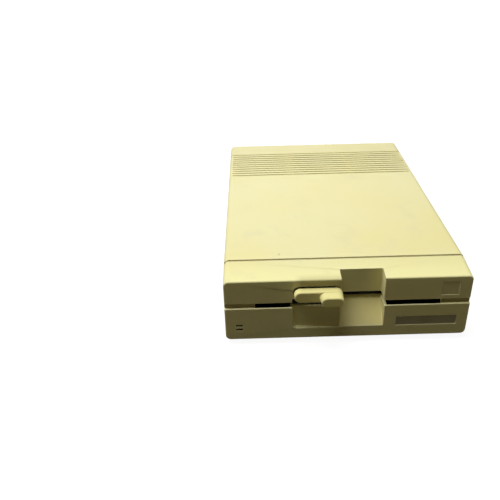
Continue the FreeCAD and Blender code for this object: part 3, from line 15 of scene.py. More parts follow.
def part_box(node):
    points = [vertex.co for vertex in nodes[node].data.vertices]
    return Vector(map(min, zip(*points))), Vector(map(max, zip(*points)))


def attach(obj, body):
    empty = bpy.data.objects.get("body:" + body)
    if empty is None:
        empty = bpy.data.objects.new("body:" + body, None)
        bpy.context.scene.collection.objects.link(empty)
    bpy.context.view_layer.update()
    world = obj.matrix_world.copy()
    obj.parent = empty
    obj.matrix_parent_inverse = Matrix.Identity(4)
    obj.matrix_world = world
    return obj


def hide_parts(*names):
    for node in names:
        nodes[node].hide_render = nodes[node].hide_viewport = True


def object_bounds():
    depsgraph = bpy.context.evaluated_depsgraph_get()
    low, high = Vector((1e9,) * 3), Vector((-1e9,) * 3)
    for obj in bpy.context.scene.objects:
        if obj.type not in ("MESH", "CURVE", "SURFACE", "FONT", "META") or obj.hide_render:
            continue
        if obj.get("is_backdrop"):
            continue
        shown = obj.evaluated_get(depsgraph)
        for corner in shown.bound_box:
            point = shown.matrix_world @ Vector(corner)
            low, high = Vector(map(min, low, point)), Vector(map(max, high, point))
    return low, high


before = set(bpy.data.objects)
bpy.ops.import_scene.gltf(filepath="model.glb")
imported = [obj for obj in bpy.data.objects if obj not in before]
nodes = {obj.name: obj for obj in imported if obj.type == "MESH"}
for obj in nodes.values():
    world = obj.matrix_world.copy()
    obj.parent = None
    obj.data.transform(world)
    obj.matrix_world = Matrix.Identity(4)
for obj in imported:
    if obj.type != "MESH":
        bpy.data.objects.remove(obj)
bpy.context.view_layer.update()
MM = 0.001

# %% [markdown]
# ## Camera
#
# The picture is taken from in front and a little above, by a hand-held camera. Its place and
# its angles are given in the frame of the drive, whose origin is on the table under its middle.
# A small shift keeps the upright lines at the slant that a cropped picture gives them.

# %% Camera
CAMERA_PLACE = Vector((-66.71, -458.55, 300.76)) * MM
CAMERA_PITCH = math.radians(27.52)
CAMERA_YAW = math.radians(0.32)
CAMERA_ROLL = math.radians(-1.375)
SENSOR_WIDTH = 36
FOCAL_PIXELS = 565
FRAME_PIXELS = 500
CENTRE_PIXEL = (257.92, 199.16)


def add_camera():
    """A camera that looks down by its pitch, turned by its yaw and rolled about its axis."""
    data = bpy.data.cameras.new("camera")
    data.sensor_width = SENSOR_WIDTH
    data.lens = FOCAL_PIXELS / FRAME_PIXELS * SENSOR_WIDTH
    data.shift_x = (FRAME_PIXELS / 2 - CENTRE_PIXEL[0]) / FRAME_PIXELS
    data.shift_y = (CENTRE_PIXEL[1] - FRAME_PIXELS / 2) / FRAME_PIXELS
    camera = bpy.data.objects.new("camera", data)
    bpy.context.scene.collection.objects.link(camera)
    ahead = Vector((math.sin(CAMERA_YAW) * math.cos(CAMERA_PITCH),
                    math.cos(CAMERA_YAW) * math.cos(CAMERA_PITCH), -math.sin(CAMERA_PITCH)))
    level = Vector((math.cos(CAMERA_YAW), -math.sin(CAMERA_YAW), 0))
    upright = level.cross(ahead)
    right = level * math.cos(CAMERA_ROLL) + upright * math.sin(CAMERA_ROLL)
    up = upright * math.cos(CAMERA_ROLL) - level * math.sin(CAMERA_ROLL)
    turn = Matrix((right, up, -ahead)).transposed()
    camera.matrix_world = Matrix.Translation(CAMERA_PLACE) @ turn.to_4x4()
    bpy.context.scene.camera = camera
    return camera


camera = add_camera()
shift = (round(camera.data.shift_x, 4), round(camera.data.shift_y, 4))
print("lens", round(camera.data.lens, 2), "mm, shift", shift)

# %% [markdown]
# ## Floor, lamps and world
#
# The drive stands on a plain pale floor that fills the picture. A big soft lamp hangs over it,
# so the top is bright and the upright front lies in shade. Three weak lamps reach the sides
# and the back. The camera sees the floor as almost white, because the floor glows a little
# for the camera and for mirror-like rays, while it throws only a dim, warm light back up.

# %% Helpers for shader nodes
def add_node(tree, kind, **values):
    """A shader node with its settings and its unlinked inputs filled in."""
    made = tree.nodes.new(kind)
    for name, value in values.items():
        if name in made.inputs:
            made.inputs[name].default_value = value
        else:
            setattr(made, name, value)
    return made


RANGE_INPUTS = ("From Min", "From Max", "To Min", "To Max")


def map_range(tree, value, *numbers):
    """Maps the range of the first two numbers to that of the last two, clamped at both ends."""
    made = add_node(tree, "ShaderNodeMapRange", **dict(zip(RANGE_INPUTS, numbers)))
    tree.links.new(value, made.inputs["Value"])
    return made.outputs[0]


def seen_directly(tree):
    """1 for camera, mirror and glass rays, 0 for the rays that carry diffuse light."""
    path = add_node(tree, "ShaderNodeLightPath")
    total = path.outputs["Is Camera Ray"]
    for name in ("Is Glossy Ray", "Is Transmission Ray"):
        add = add_node(tree, "ShaderNodeMath", operation="MAXIMUM")
        tree.links.new(total, add.inputs[0])
        tree.links.new(path.outputs[name], add.inputs[1])
        total = add.outputs[0]
    return total


# %% Floor
FLOOR_HALF = 4
GLOW_NEAR = 0.93
GLOW_FAR = 1.0
GLOW_REACH = (0.35, 1.6)
FLOOR_WHITE = (0.17, 0.17, 0.17, 1)
FLOOR_BOUNCE = (0.095, 0.073, 0.024, 1)


def floor_material():
    """Almost white to the camera, with the drive's shadow on it, and a dim warm bounce."""
    material = bpy.data.materials.new("floor")
    material.use_nodes = True
    tree = material.node_tree
    tree.nodes.clear()
    pale = add_node(tree, "ShaderNodeBsdfDiffuse", Color=FLOOR_WHITE)
    glow = add_node(tree, "ShaderNodeEmission")
    place = add_node(tree, "ShaderNodeTexCoord")
    away = add_node(tree, "ShaderNodeVectorMath", operation="LENGTH")
    tree.links.new(place.outputs["Object"], away.inputs[0])
    rise = map_range(tree, away.outputs["Value"], *GLOW_REACH, GLOW_NEAR, GLOW_FAR)
    tree.links.new(rise, glow.inputs["Strength"])
    seen = add_node(tree, "ShaderNodeAddShader")
    bounce = add_node(tree, "ShaderNodeBsdfDiffuse", Color=FLOOR_BOUNCE)
    choose = add_node(tree, "ShaderNodeMixShader")
    out = add_node(tree, "ShaderNodeOutputMaterial")
    tree.links.new(pale.outputs[0], seen.inputs[0])
    tree.links.new(glow.outputs[0], seen.inputs[1])
    tree.links.new(seen_directly(tree), choose.inputs[0])
    tree.links.new(bounce.outputs[0], choose.inputs[1])
    tree.links.new(seen.outputs[0], choose.inputs[2])
    tree.links.new(choose.outputs[0], out.inputs["Surface"])
    return material


def add_floor(half):
    """A square floor of which every side is twice as long as half."""
    mesh = bpy.data.meshes.new("floor")
    corners = [(-half, -half, 0), (half, -half, 0), (half, half, 0), (-half, half, 0)]
    mesh.from_pydata(corners, [], [(0, 1, 2, 3)])
    mesh.materials.append(floor_material())
    floor = bpy.data.objects.new("floor", mesh)
    bpy.context.scene.collection.objects.link(floor)
    floor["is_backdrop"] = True


add_floor(FLOOR_HALF)
print("floor", 2 * FLOOR_HALF, "m wide")

# %% Lamps and world
LAMPS = [
    # name, place in metres, width in metres, power in watts
    ("key_lamp", (-0.35, -0.02, 1.4), 1.0, 20.4),
    ("left_lamp", (-1.3, 0.35, 0.5), 0.8, 3.5),
    ("right_lamp", (1.3, 0.35, 0.5), 0.8, 2.5),
    ("back_lamp", (0.1, 1.5, 0.6), 0.8, 3),
]
WORLD_FILL = (1, 0.86, 0.42, 1)
WORLD_FILL_STRENGTH = 0.026


def add_lamp(name, place, size, power):
    """A round soft lamp that points at the drive."""
    data = bpy.data.lights.new(name, "AREA")
    data.shape = "DISK"
    data.size = size
    data.energy = power
    lamp = bpy.data.objects.new(name, data)
    bpy.context.scene.collection.objects.link(lamp)
    lamp.location = place
    lamp.rotation_euler = (-Vector(place)).to_track_quat("-Z", "Y").to_euler()
    return lamp


def add_world():
    """White where it is seen or mirrored, and a weak warm fill elsewhere."""
    world = bpy.data.worlds.new("world")
    bpy.context.scene.world = world
    world.use_nodes = True
    tree = world.node_tree
    tree.nodes.clear()
    fill = add_node(tree, "ShaderNodeBackground", Color=WORLD_FILL, Strength=WORLD_FILL_STRENGTH)
    white = add_node(tree, "ShaderNodeBackground", Color=(1, 1, 1, 1), Strength=1)
    choose = add_node(tree, "ShaderNodeMixShader")
    out = add_node(tree, "ShaderNodeOutputWorld")
    tree.links.new(seen_directly(tree), choose.inputs[0])
    tree.links.new(fill.outputs[0], choose.inputs[1])
    tree.links.new(white.outputs[0], choose.inputs[2])
    tree.links.new(choose.outputs[0], out.inputs["Surface"])


for lamp in LAMPS:
    add_lamp(*lamp)
add_world()
bpy.context.scene.view_settings.view_transform = "Standard"
print(len(LAMPS), "lamps")

# %% [markdown]
# ## Moulded plastic of the case
#
# The shells are moulded in a pale plastic that has yellowed with age. The tone drifts in big
# soft clouds, the grain is fine, and a few marks and smudges lie on it. Light and shade are
# painted in too: the top is paler near the front and duller towards the rear, the low upright
# faces get less of the pale tone, and painted shade lies in the front groove, in the seams
# beside the slot and on the front above the lever, with a warm painted shade on the scoop. All
# of this is worked out from object coordinates, so it fits any shape and needs no unwrapping.

# %% Building blocks of a finish
MIX_COLORS = (6, 7)  # the two colour inputs of a Mix node, among its inputs for other kinds
MIX_RESULT = 2  # and its colour output


class Finish:
    """A material with a Principled shader, and short calls for the nodes that feed it."""

    def __init__(self, name, color, roughness, metallic=0, specular=0.5):
        self.material = bpy.data.materials.new(name)
        self.material.use_nodes = True
        self.tree = self.material.node_tree
        self.shader = self.tree.nodes["Principled BSDF"]
        self.place = add_node(self.tree, "ShaderNodeTexCoord").outputs["Object"]
        self.set("Base Color", (*color, 1))
        self.set("Roughness", roughness)
        self.set("Metallic", metallic)
        self.set("Specular IOR Level", specular)

    def set(self, name, value):
        self.shader.inputs[name].default_value = value

    def link(self, output, name):
        self.tree.links.new(output, self.shader.inputs[name])

    def stretched(self, scale):
        """Object coordinates with each axis scaled."""
        mapping = add_node(self.tree, "ShaderNodeMapping", Scale=scale)
        self.tree.links.new(self.place, mapping.inputs["Vector"])
        return mapping.outputs[0]

    def along(self, axis):
        """One object coordinate: 0, 1 or 2 for X, Y or Z."""
        made = add_node(self.tree, "ShaderNodeSeparateXYZ")
        self.tree.links.new(self.place, made.inputs[0])
        return made.outputs[axis]

    def noise(self, scale, detail=2, roughness=0.5, vector=None):
        made = add_node(self.tree, "ShaderNodeTexNoise", Scale=scale, Detail=detail,
                        Roughness=roughness)
        self.tree.links.new(vector or self.place, made.inputs["Vector"])
        return made.outputs["Fac"]

    def cells(self, scale, vector=None):
        """Distance to the nearest point of a scattered set."""
        made = add_node(self.tree, "ShaderNodeTexVoronoi", Scale=scale)
        self.tree.links.new(vector or self.place, made.inputs["Vector"])
        return made.outputs["Distance"]

    def span(self, value, low, high, to_low=0.0, to_high=1.0):
        """Maps low..high of a value to another range, clamped at both ends."""
        return map_range(self.tree, value, low, high, to_low, to_high)

    def math(self, operation, first, second):
        made = add_node(self.tree, "ShaderNodeMath", operation=operation)
        for i, value in enumerate((first, second)):
            if isinstance(value, (int, float)):
                made.inputs[i].default_value = value
            else:
                self.tree.links.new(value, made.inputs[i])
        return made.outputs[0]

    def blend(self, factor, first, second):
        """Mixes two colours, given as sockets or as three numbers."""
        made = add_node(self.tree, "ShaderNodeMix", data_type="RGBA")
        self.tree.links.new(factor, made.inputs[0])
        for i, value in zip(MIX_COLORS, (first, second)):
            if isinstance(value, tuple):
                made.inputs[i].default_value = (*value, 1)
            else:
                self.tree.links.new(value, made.inputs[i])
        return made.outputs[MIX_RESULT]

    def bump(self, height, distance, strength):
        """Raises the surface by a height from 0 to 1, times a distance in metres."""
        made = add_node(self.tree, "ShaderNodeBump", Distance=distance, Strength=strength)
        self.tree.links.new(height, made.inputs["Height"])
        self.link(made.outputs[0], "Normal")


print("finish helpers ready")

# %% Tones of the case, with painted light, and places of painted shade
CREAM = (0.80, 0.755, 0.43)
CREAM_YELLOW = (0.80, 0.73, 0.345)
CREAM_GREY = (0.70, 0.665, 0.42)
# The paler tone is painted light on the front of the top; low upright faces get a share of it.
CREAM_LIT = (0.93, 0.885, 0.445)
MARK_BROWN = (0.30, 0.24, 0.12)
LIT_FROM, LIT_TO = -92 * MM, -118 * MM
LIT_MOST = 0.85
SHADED_BELOW, LIT_ABOVE = 50 * MM, 59 * MM
SHADED_SHARE = 0.35
# The duller tone is painted shade towards the rear.
REAR_SHADE = (0.72, 0.67, 0.36)
REAR_SHADE_FROM, REAR_SHADE_TO = 30 * MM, 115 * MM
REAR_SHADE_MOST = 0.8
GRAIN_DEPTH = 0.06 * MM
# Two tones of painted shade; the second is warm, as light bounced about the scoop.
PAINTED_SHADE = (0.30, 0.25, 0.10)
PAINTED_WARM_SHADE = (0.62, 0.50, 0.10)
PAINTED_SHADE_PLACES = [
    # middle and reach of a box, width of its soft rim (mm), the painted shade and how much of it
    # painted shade in the top's groove, scoop (warm), seams beside the slot, front above lever
    ((0, -98.45, 55), (90.5, 1.15, 5.6), 0.02, PAINTED_SHADE, 0.62),
    ((11.3, -116, 24.8), (16.2, 8, 9.9), 0.02, PAINTED_WARM_SHADE, 0.36),
    ((-81, -118, 35.65), (11.6, 4.6, 2), 0.02, PAINTED_SHADE, 0.8),
    ((81.6, -118, 35.65), (11, 4.6, 2), 0.02, PAINTED_SHADE, 0.8),
    ((-20, -122, 53), (14, 1, 2), 6, PAINTED_SHADE, 0.62),
]
print(len(PAINTED_SHADE_PLACES), "grimy places")


# %% Layers of age, painted light and painted shade
def painted_light(finish, color, lit_tone, shaded):
    """Painted light: paler near the front, above all high up, and painted shade towards the rear.
    """
    high = finish.span(finish.along(2), SHADED_BELOW, LIT_ABOVE, shaded, 1)
    near = finish.span(finish.along(1), LIT_FROM, LIT_TO, 0, LIT_MOST)
    color = finish.blend(finish.math("MULTIPLY", near, high), color, lit_tone)
    darker_rear = finish.span(finish.along(1), REAR_SHADE_FROM, REAR_SHADE_TO, 0, REAR_SHADE_MOST)
    return finish.blend(darker_rear, color, REAR_SHADE)


def marked(finish, color, smudged):
    """Soft smudges, and small brown marks in the few places that a slow noise picks out."""
    smudge = finish.span(finish.noise(28, 5, 0.62), 0.56, 0.78, 0, 0.55)
    color = finish.blend(smudge, color, smudged)
    speck = finish.span(finish.cells(38, finish.stretched((1, 0.55, 1))), 0.035, 0.06, 1, 0)
    rare = finish.span(finish.noise(17), 0.6, 0.66)
    marks = finish.math("MULTIPLY", finish.math("MULTIPLY", speck, rare), 0.6)
    return finish.blend(marks, color, MARK_BROWN)


def with_painted_shade(finish, color):
    """Painted shade inside each of the boxes."""
    for middle, reach, rim, shade_tone, share in PAINTED_SHADE_PLACES:
        for axis in range(3):
            off = finish.math("SUBTRACT", finish.along(axis), middle[axis] * MM)
            away = finish.math("ABSOLUTE", off, 0.0)
            inside = finish.span(away, (reach[axis] + rim) * MM, reach[axis] * MM)
            share = finish.math("MULTIPLY", inside, share)
        color = finish.blend(share, color, shade_tone)
    return color


# In this print, the sun stands for painted light and the grime for painted shade.
print("sun, smudges and grime are ready")


# %% Case plastic
def aged_plastic(name, fresh, yellowed, smudged, lit_tone, shaded=1.0):
    """Yellowed plastic with painted light. Its low parts get only the share in shaded of it."""
    finish = Finish(name, fresh, 0.48, specular=0.12)
    drift = finish.span(finish.noise(9, 3), 0.35, 0.68)
    color = painted_light(finish, finish.blend(drift, fresh, yellowed), lit_tone, shaded)
    finish.link(with_painted_shade(finish, marked(finish, color, smudged)), "Base Color")
    finish.link(finish.span(finish.noise(60, 3), 0.3, 0.7, 0.42, 0.56), "Roughness")
    finish.bump(finish.noise(2600, 2, 0.6), GRAIN_DEPTH, 0.6)
    return finish.material


case_plastic = aged_plastic("case_plastic", CREAM, CREAM_YELLOW, CREAM_GREY, CREAM_LIT,
                            SHADED_SHARE)


def dress(material, *names):
    """Gives CAD nodes their material."""
    for name in names:
        mesh = nodes[name].data
        mesh.materials.clear()
        mesh.materials.append(material)


dress(case_plastic, "bottom_shell", "top_cover")
print("case plastic on both shells")

# %% [markdown]
# ## Grained plastics, rubber and lamps
#
# The small parts are moulded too, in black, white and cream. One recipe serves them all: a base
# colour that wears towards a second one in soft patches, a fine grain, and a little dust. The
# rubber of the feet has the coarsest grain and no gloss, and the lamps are clear and deep.

# %% Finishes of plastic, rubber and lamps
def grained(name, color, worn, roughness=0.5, specular=0.4, grain=1800, depth=0.05 * MM):
    """Moulded plastic or rubber: patches of wear, specks of dust and a fine grain."""
    finish = Finish(name, color, roughness, specular=specular)
    patches = finish.span(finish.noise(70, 4, 0.6), 0.42, 0.72)
    color = finish.blend(patches, color, worn)
    dust = finish.math("MULTIPLY", finish.span(finish.noise(900, 3, 0.7), 0.62, 0.75), 0.25)
    finish.link(finish.blend(dust, color, tuple(0.5 * part + 0.2 for part in worn)), "Base Color")
    uneven = finish.span(finish.noise(110, 3), 0.3, 0.7, roughness - 0.08, roughness + 0.1)
    finish.link(uneven, "Roughness")
    finish.bump(finish.noise(grain, 2, 0.6), depth, 0.5)
    return finish.material


def tinted_lens(name, color, deep):
    """A clear moulded bar whose tint gathers in streaks, with a polished face."""
    finish = Finish(name, color, 0.3, specular=0.05)
    streaks = finish.span(finish.noise(400, 3, 0.6, finish.stretched((0.3, 1, 1))), 0.35, 0.65)
    finish.link(finish.blend(streaks, color, deep), "Base Color")
    finish.link(finish.span(finish.noise(700, 2), 0.3, 0.7, 0.22, 0.4), "Roughness")
    finish.bump(finish.noise(1200, 2), 0.02 * MM, 0.3)
    return finish.material


# fresh, yellowed and smudged tones, and a paler tone of painted light
LEVER_TONES = ((0.90, 0.84, 0.42), (0.90, 0.82, 0.37), (0.66, 0.60, 0.32), (0.96, 0.89, 0.38))
BADGE_TONES = ((0.74, 0.69, 0.38), (0.72, 0.65, 0.30), (0.5, 0.46, 0.28), (0.78, 0.73, 0.37))
dress(aged_plastic("lever_plastic", *LEVER_TONES), "lever")
dress(aged_plastic("badge_plastic", *BADGE_TONES), "badge_plate")
rubber = grained("foot_rubber", (0.022, 0.022, 0.021), (0.06, 0.058, 0.052), 0.78, 0.25,
                 grain=1100, depth=0.09 * MM)
black_plastic = grained("black_plastic", (0.016, 0.015, 0.013), (0.036, 0.033, 0.028), 0.5, 0.22)
dress(black_plastic, "slot_bezel", "disk_guide_left", "disk_guide_right", "clamp_hub",
      "index_sensor", "write_protect_sensor", "track_zero_sensor", "power_switch", "power_rocker",
      "selector_switch", "serial_socket_a", "serial_socket_b", "power_inlet", "socket_inserts",
      "cable_headers")
dress(grained("white_plastic", (0.55, 0.54, 0.49), (0.48, 0.46, 0.38), 0.42),
      "selector_slider_1", "selector_slider_2", "head_carriage", "head_arm", "upper_head")
dress(grained("chip_plastic", (0.016, 0.016, 0.018), (0.035, 0.035, 0.036), 0.6, 0.35, 2600),
      "board_chips", "mechanism_chips", "board_parts")
dress(tinted_lens("red_lamp", (0.07, 0.008, 0.004), (0.03, 0.004, 0.003)), "drive_led")
dress(tinted_lens("green_lamp", (0.018, 0.035, 0.008), (0.008, 0.014, 0.004)), "power_led")
print("plastics, rubber and lamps are dressed")

# %% [markdown]
# ## Metals
#
# Rolled and turned steel shows fine scratches along one way. Zinc-coated sheet shows frozen
# crystals, which are the cells of a Voronoi pattern. The cast chassis has a coarse skin with
# darker pits. The nameplate is a dark metal foil, brushed along its length.

# %% Finishes of metal
def brushed(name, color, dark, stretch=(0.05, 1, 1), roughness=0.32, metallic=1, specular=0.5):
    """Metal with fine scratches along one way, and darker stains."""
    finish = Finish(name, color, roughness, metallic, specular)
    scratches = finish.noise(3200, 3, 0.7, finish.stretched(stretch))
    stains = finish.span(finish.noise(95, 4, 0.6), 0.45, 0.75)
    finish.link(finish.blend(stains, finish.blend(scratches, dark, color), dark), "Base Color")
    finish.link(finish.span(scratches, 0.3, 0.7, roughness - 0.08, roughness + 0.14), "Roughness")
    finish.bump(scratches, 0.02 * MM, 0.4)
    return finish.material


def spangled(name, color, dark):
    """Zinc-coated sheet: crystals of different brightness over a faint grain."""
    finish = Finish(name, color, 0.38, metallic=1.0)
    crystals = finish.span(finish.cells(160, finish.stretched((1, 1, 0.6))), 0.1, 0.8)
    finish.link(finish.blend(crystals, color, dark), "Base Color")
    finish.link(finish.span(crystals, 0, 1, 0.3, 0.5), "Roughness")
    finish.bump(finish.noise(900, 3, 0.6), 0.03 * MM, 0.4)
    return finish.material


def cast(name, color, pitted):
    """Cast aluminium: a coarse skin with small dark pits."""
    finish = Finish(name, color, 0.5, metallic=1.0)
    pits = finish.span(finish.cells(420), 0.05, 0.3, 1, 0)
    soft = finish.span(finish.noise(50, 4, 0.6), 0.3, 0.75, 0.1, 0.7)
    finish.link(finish.blend(finish.math("MULTIPLY", pits, soft), color, pitted), "Base Color")
    finish.link(finish.span(finish.noise(220, 3), 0.3, 0.7, 0.42, 0.62), "Roughness")
    finish.bump(finish.noise(1300, 3, 0.65), 0.09 * MM, 0.6)
    return finish.material


steel = brushed("steel", (0.42, 0.42, 0.43), (0.24, 0.24, 0.24))
dress(steel, "case_screws", "mechanism_screws", "board_screws", "lever_shaft", "clamp_pin",
      "guide_rod_left", "guide_rod_right", "head_arm_pin", "clamp_spring", "spindle_bearing",
      "band_strip", "band_wrap", "stepper_pulley")
dress(spangled("zinc_sheet", (0.45, 0.46, 0.46), (0.27, 0.28, 0.29)),
      "clamp_arm", "shield_plate", "stepper_motor", "motor_rotor")
dress(cast("aluminium", (0.44, 0.45, 0.46), (0.16, 0.16, 0.16)),
      "chassis", "spindle", "lower_head")
dark_plate = brushed("dark_plate", (0.34, 0.31, 0.16), (0.23, 0.205, 0.10), roughness=0.5,
                     metallic=0, specular=0.2)
dress(dark_plate, "nameplate")
brass = brushed("contact_brass", (0.60, 0.42, 0.16), (0.34, 0.22, 0.08), (1, 0.05, 1), 0.28)
print("metals are dressed")

# %% [markdown]
# ## Boards, windings and ribbon
#
# These patterns follow rules. Copper tracks under green lacquer are bands that a slow noise
# breaks up. Enamelled wire is a fine run of bands round the coil. The ribbon's conductors lie
# side by side at a pitch of 1.27 mm, and it is darker in the valleys between them.

# %% Finishes with bands
TRACK_PITCH = 2.54 * MM
RIBBON_PITCH = 1.27 * MM
WIRE_PITCH = 0.35 * MM
WAVE_REPEAT = math.pi / 10  # the pitch of a wave texture at a scale of 1, in metres


def banded(finish, axis, pitch, low=0.35, high=0.65):
    """Bands of a given pitch across one axis, from 0 to 1."""
    stretch = [0.0, 0.0, 0.0]
    stretch[axis] = 1
    wave = add_node(finish.tree, "ShaderNodeTexWave", wave_type="BANDS",
                    bands_direction="XYZ"[axis], Scale=WAVE_REPEAT / pitch)
    finish.tree.links.new(finish.stretched(stretch), wave.inputs["Vector"])
    return finish.span(wave.outputs["Fac"], low, high)


def board_lacquer(name, lacquer, track, shade):
    """Green lacquer over copper tracks that run along and across."""
    finish = Finish(name, lacquer, 0.3, specular=0.5)
    choice = finish.span(finish.noise(55, 1), 0.49, 0.51)
    along, across = banded(finish, 0, TRACK_PITCH), banded(finish, 1, TRACK_PITCH)
    lines = finish.math("ADD", finish.math("MULTIPLY", along, choice),
                        finish.math("MULTIPLY", across, finish.math("SUBTRACT", 1.0, choice)))
    broken = finish.math("MULTIPLY", lines, finish.span(finish.noise(120, 2), 0.44, 0.5))
    ground = finish.blend(finish.span(finish.noise(30, 3), 0.35, 0.7), lacquer, shade)
    finish.link(finish.blend(broken, ground, track), "Base Color")
    finish.link(finish.span(broken, 0, 1, 0.36, 0.24), "Roughness")
    finish.bump(broken, 0.035 * MM, 0.6)
    return finish.material


def wound_wire(name, color, dark):
    """Enamelled copper wire in close turns."""
    finish = Finish(name, color, 0.3, metallic=0.85)
    turns = banded(finish, 2, WIRE_PITCH, 0.1, 0.9)
    tone = finish.span(finish.noise(250, 3), 0.3, 0.7)
    finish.link(finish.blend(turns, dark, finish.blend(tone, color, dark)), "Base Color")
    finish.link(finish.span(tone, 0, 1, 0.25, 0.45), "Roughness")
    finish.bump(turns, 0.08 * MM, 0.7)
    return finish.material


def ribbon_sheath(name, color, valley):
    """Grey conductors side by side, darker in the valleys between them and in soft patches."""
    finish = Finish(name, color, 0.5)
    ridges = banded(finish, 0, RIBBON_PITCH, 0.05, 0.5)
    grime = finish.span(finish.noise(130, 4, 0.6), 0.4, 0.75, 0, 0.5)
    finish.link(finish.blend(grime, finish.blend(ridges, valley, color), valley), "Base Color")
    finish.link(finish.span(finish.noise(300, 2), 0.3, 0.7, 0.42, 0.58), "Roughness")
    finish.bump(ridges, 0.12 * MM, 0.8)
    return finish.material


lacquer = board_lacquer("circuit_board", (0.012, 0.10, 0.032), (0.03, 0.20, 0.05),
                        (0.008, 0.07, 0.022))
dress(lacquer, "logic_board", "mechanism_board", "motor_board", "lamp_board")
dress(wound_wire("copper", (0.50, 0.20, 0.07), (0.22, 0.08, 0.03)), "motor_coils")
dress(ribbon_sheath("ribbon", (0.30, 0.32, 0.34), (0.13, 0.14, 0.15)), "ribbon_cable")
undressed = [name for name, part in nodes.items()
             if "default" in part.data.materials[0].name.lower()]
print("boards, windings and ribbon are dressed; left over:", undressed)

# %% [markdown]
# ## Softened edges
#
# A moulded edge is never razor sharp: it catches a thin line of light. The two shells are
# therefore stood for by copies of their own meshes. Each copy is merged, and a narrow bevel
# runs along every edge that turns by more than 35 degrees. A bevel was chosen over a finish
# that only shades the edge round, because its shape stays when the piece is exported.

# %% Copies that can be worked on
MERGE_WITHIN = 0.002 * MM
SHARP = math.radians(35)
EDGE_SOFTNESS = 0.3 * MM
EDGE_SEGMENTS = 2
WALL_SLOT, EDGE_SLOT = 0, 1
SAME_PLANE = math.cos(math.radians(1))
SAME_CURVE = math.cos(math.radians(50))
FLAT_WIDTH = 1 * MM
HOLE_MARGIN = 1 * MM


def keep_mesh(piece):
    """Replaces a piece's modifiers by the mesh they give."""
    graph = bpy.context.evaluated_depsgraph_get()
    mesh = bpy.data.meshes.new_from_object(piece.evaluated_get(graph))
    piece.modifiers.clear()
    old, piece.data = piece.data, mesh
    bpy.data.meshes.remove(old)
    mesh.name = piece.name


def add_object(name, mesh):
    piece = bpy.data.objects.new(name, mesh)
    bpy.context.scene.collection.objects.link(piece)
    return piece


def merged_shape(node):
    """A node's loose triangles, joined where they meet."""
    shape = bmesh.new()
    shape.from_mesh(nodes[node].data)
    bmesh.ops.remove_doubles(shape, verts=shape.verts, dist=MERGE_WITHIN)
    return shape


def kept_shape(shape, name):
    """Turns a shape that was worked on in mesh code into a mesh with smooth shading."""
    mesh = bpy.data.meshes.new(name)
    shape.to_mesh(mesh)
    shape.free()
    mesh.shade_smooth()
    return mesh


print("bevels are", round(EDGE_SOFTNESS / MM, 2), "mm wide")

# %% [markdown]
# A point of a bevelled copy could shade with the mean direction of its faces, but the long
# triangles of a wall would then tip the shading of the whole wall. So a wide flat region is
# shaded flat, and the narrow strips between two regions blend from one to the other.

# %% Flat regions, and the normals of the strips between them
def flat_faces(shape):
    """The faces whose flat region is wider than a strip of a fillet, with its mean normal."""
    seen, flat = set(), {}
    for seed in shape.faces:
        if seed.index in seen:
            continue
        seen.add(seed.index)
        region, front, rim = [], [seed], 0.0
        while front:
            face = front.pop()
            region.append(face)
            for edge in face.edges:
                for other in edge.link_faces:
                    if face.normal.dot(other.normal) < SAME_PLANE:
                        rim += edge.calc_length()
                    elif other.index not in seen:
                        seen.add(other.index)
                        front.append(other)
        if 2 * sum(face.calc_area() for face in region) > FLAT_WIDTH * rim:
            mean = sum((face.normal * face.calc_area() for face in region), Vector()).normalized()
            flat |= {face.index: mean for face in region}
    return flat


def corner_normal(face, vert, flat):
    """The normal of a face's flat region, or that of the surface that a strip runs into."""
    if face.index in flat:
        return flat[face.index]
    near = [other for other in vert.link_faces if other.normal.dot(face.normal) > SAME_CURVE]
    wide = [other for other in near if other.index in flat]
    if wide:
        return flat[max(wide, key=lambda other: other.normal.dot(face.normal)).index]
    return sum((other.normal * other.calc_area() for other in near), Vector()).normalized()


def set_normals(mesh):
    """Keeps flat regions flat and lets the strips between them blend."""
    shape = bmesh.new()
    shape.from_mesh(mesh)
    flat = flat_faces(shape)
    for face in mesh.polygons:
        face.use_smooth = face.index not in flat
    normals = [corner_normal(face, loop.vert, flat) for face in shape.faces for loop in face.loops]
    mesh.normals_split_custom_set(normals)
    shape.free()


print("a region wider than", round(FLAT_WIDTH / MM, 2), "mm counts as flat")

# %% [markdown]
# Where short edges meet, a bevel's points can shoot past a corner, so they are put back into
# the part's own box. That doesn't unfold the thin triangles of a wall that such points have
# folded over their neighbours, as where the arc of a cut-out starts: a weakness of this way.
# Clamping the overlap would unfold them, but it leaves a bevel about a twenty-fifth as wide.
#
# The bevels get a paler, smoother finish, because hands and table tops rub an edge first, but
# not round the lamps, which nobody touches. The paler colour is also a painted highlight.

# %% Bevelled copies of the shells
def settle(mesh, node):
    """Puts a bevel's points that shot past a corner back into the part's own box."""
    low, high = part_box(node)
    for vert in mesh.vertices:
        vert.co = [min(max(value, low[i]), high[i]) for i, value in enumerate(vert.co)]


def plain_edges(mesh, holes):
    """Takes the edge finish and its painted highlight off bevels in the boxes of small parts."""
    boxes = [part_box(hole) for hole in holes]
    for face in mesh.polygons:
        for low, high in boxes:
            if all(low[i] - HOLE_MARGIN < face.center[i] < high[i] + HOLE_MARGIN for i in range(3)):
                face.material_index = WALL_SLOT


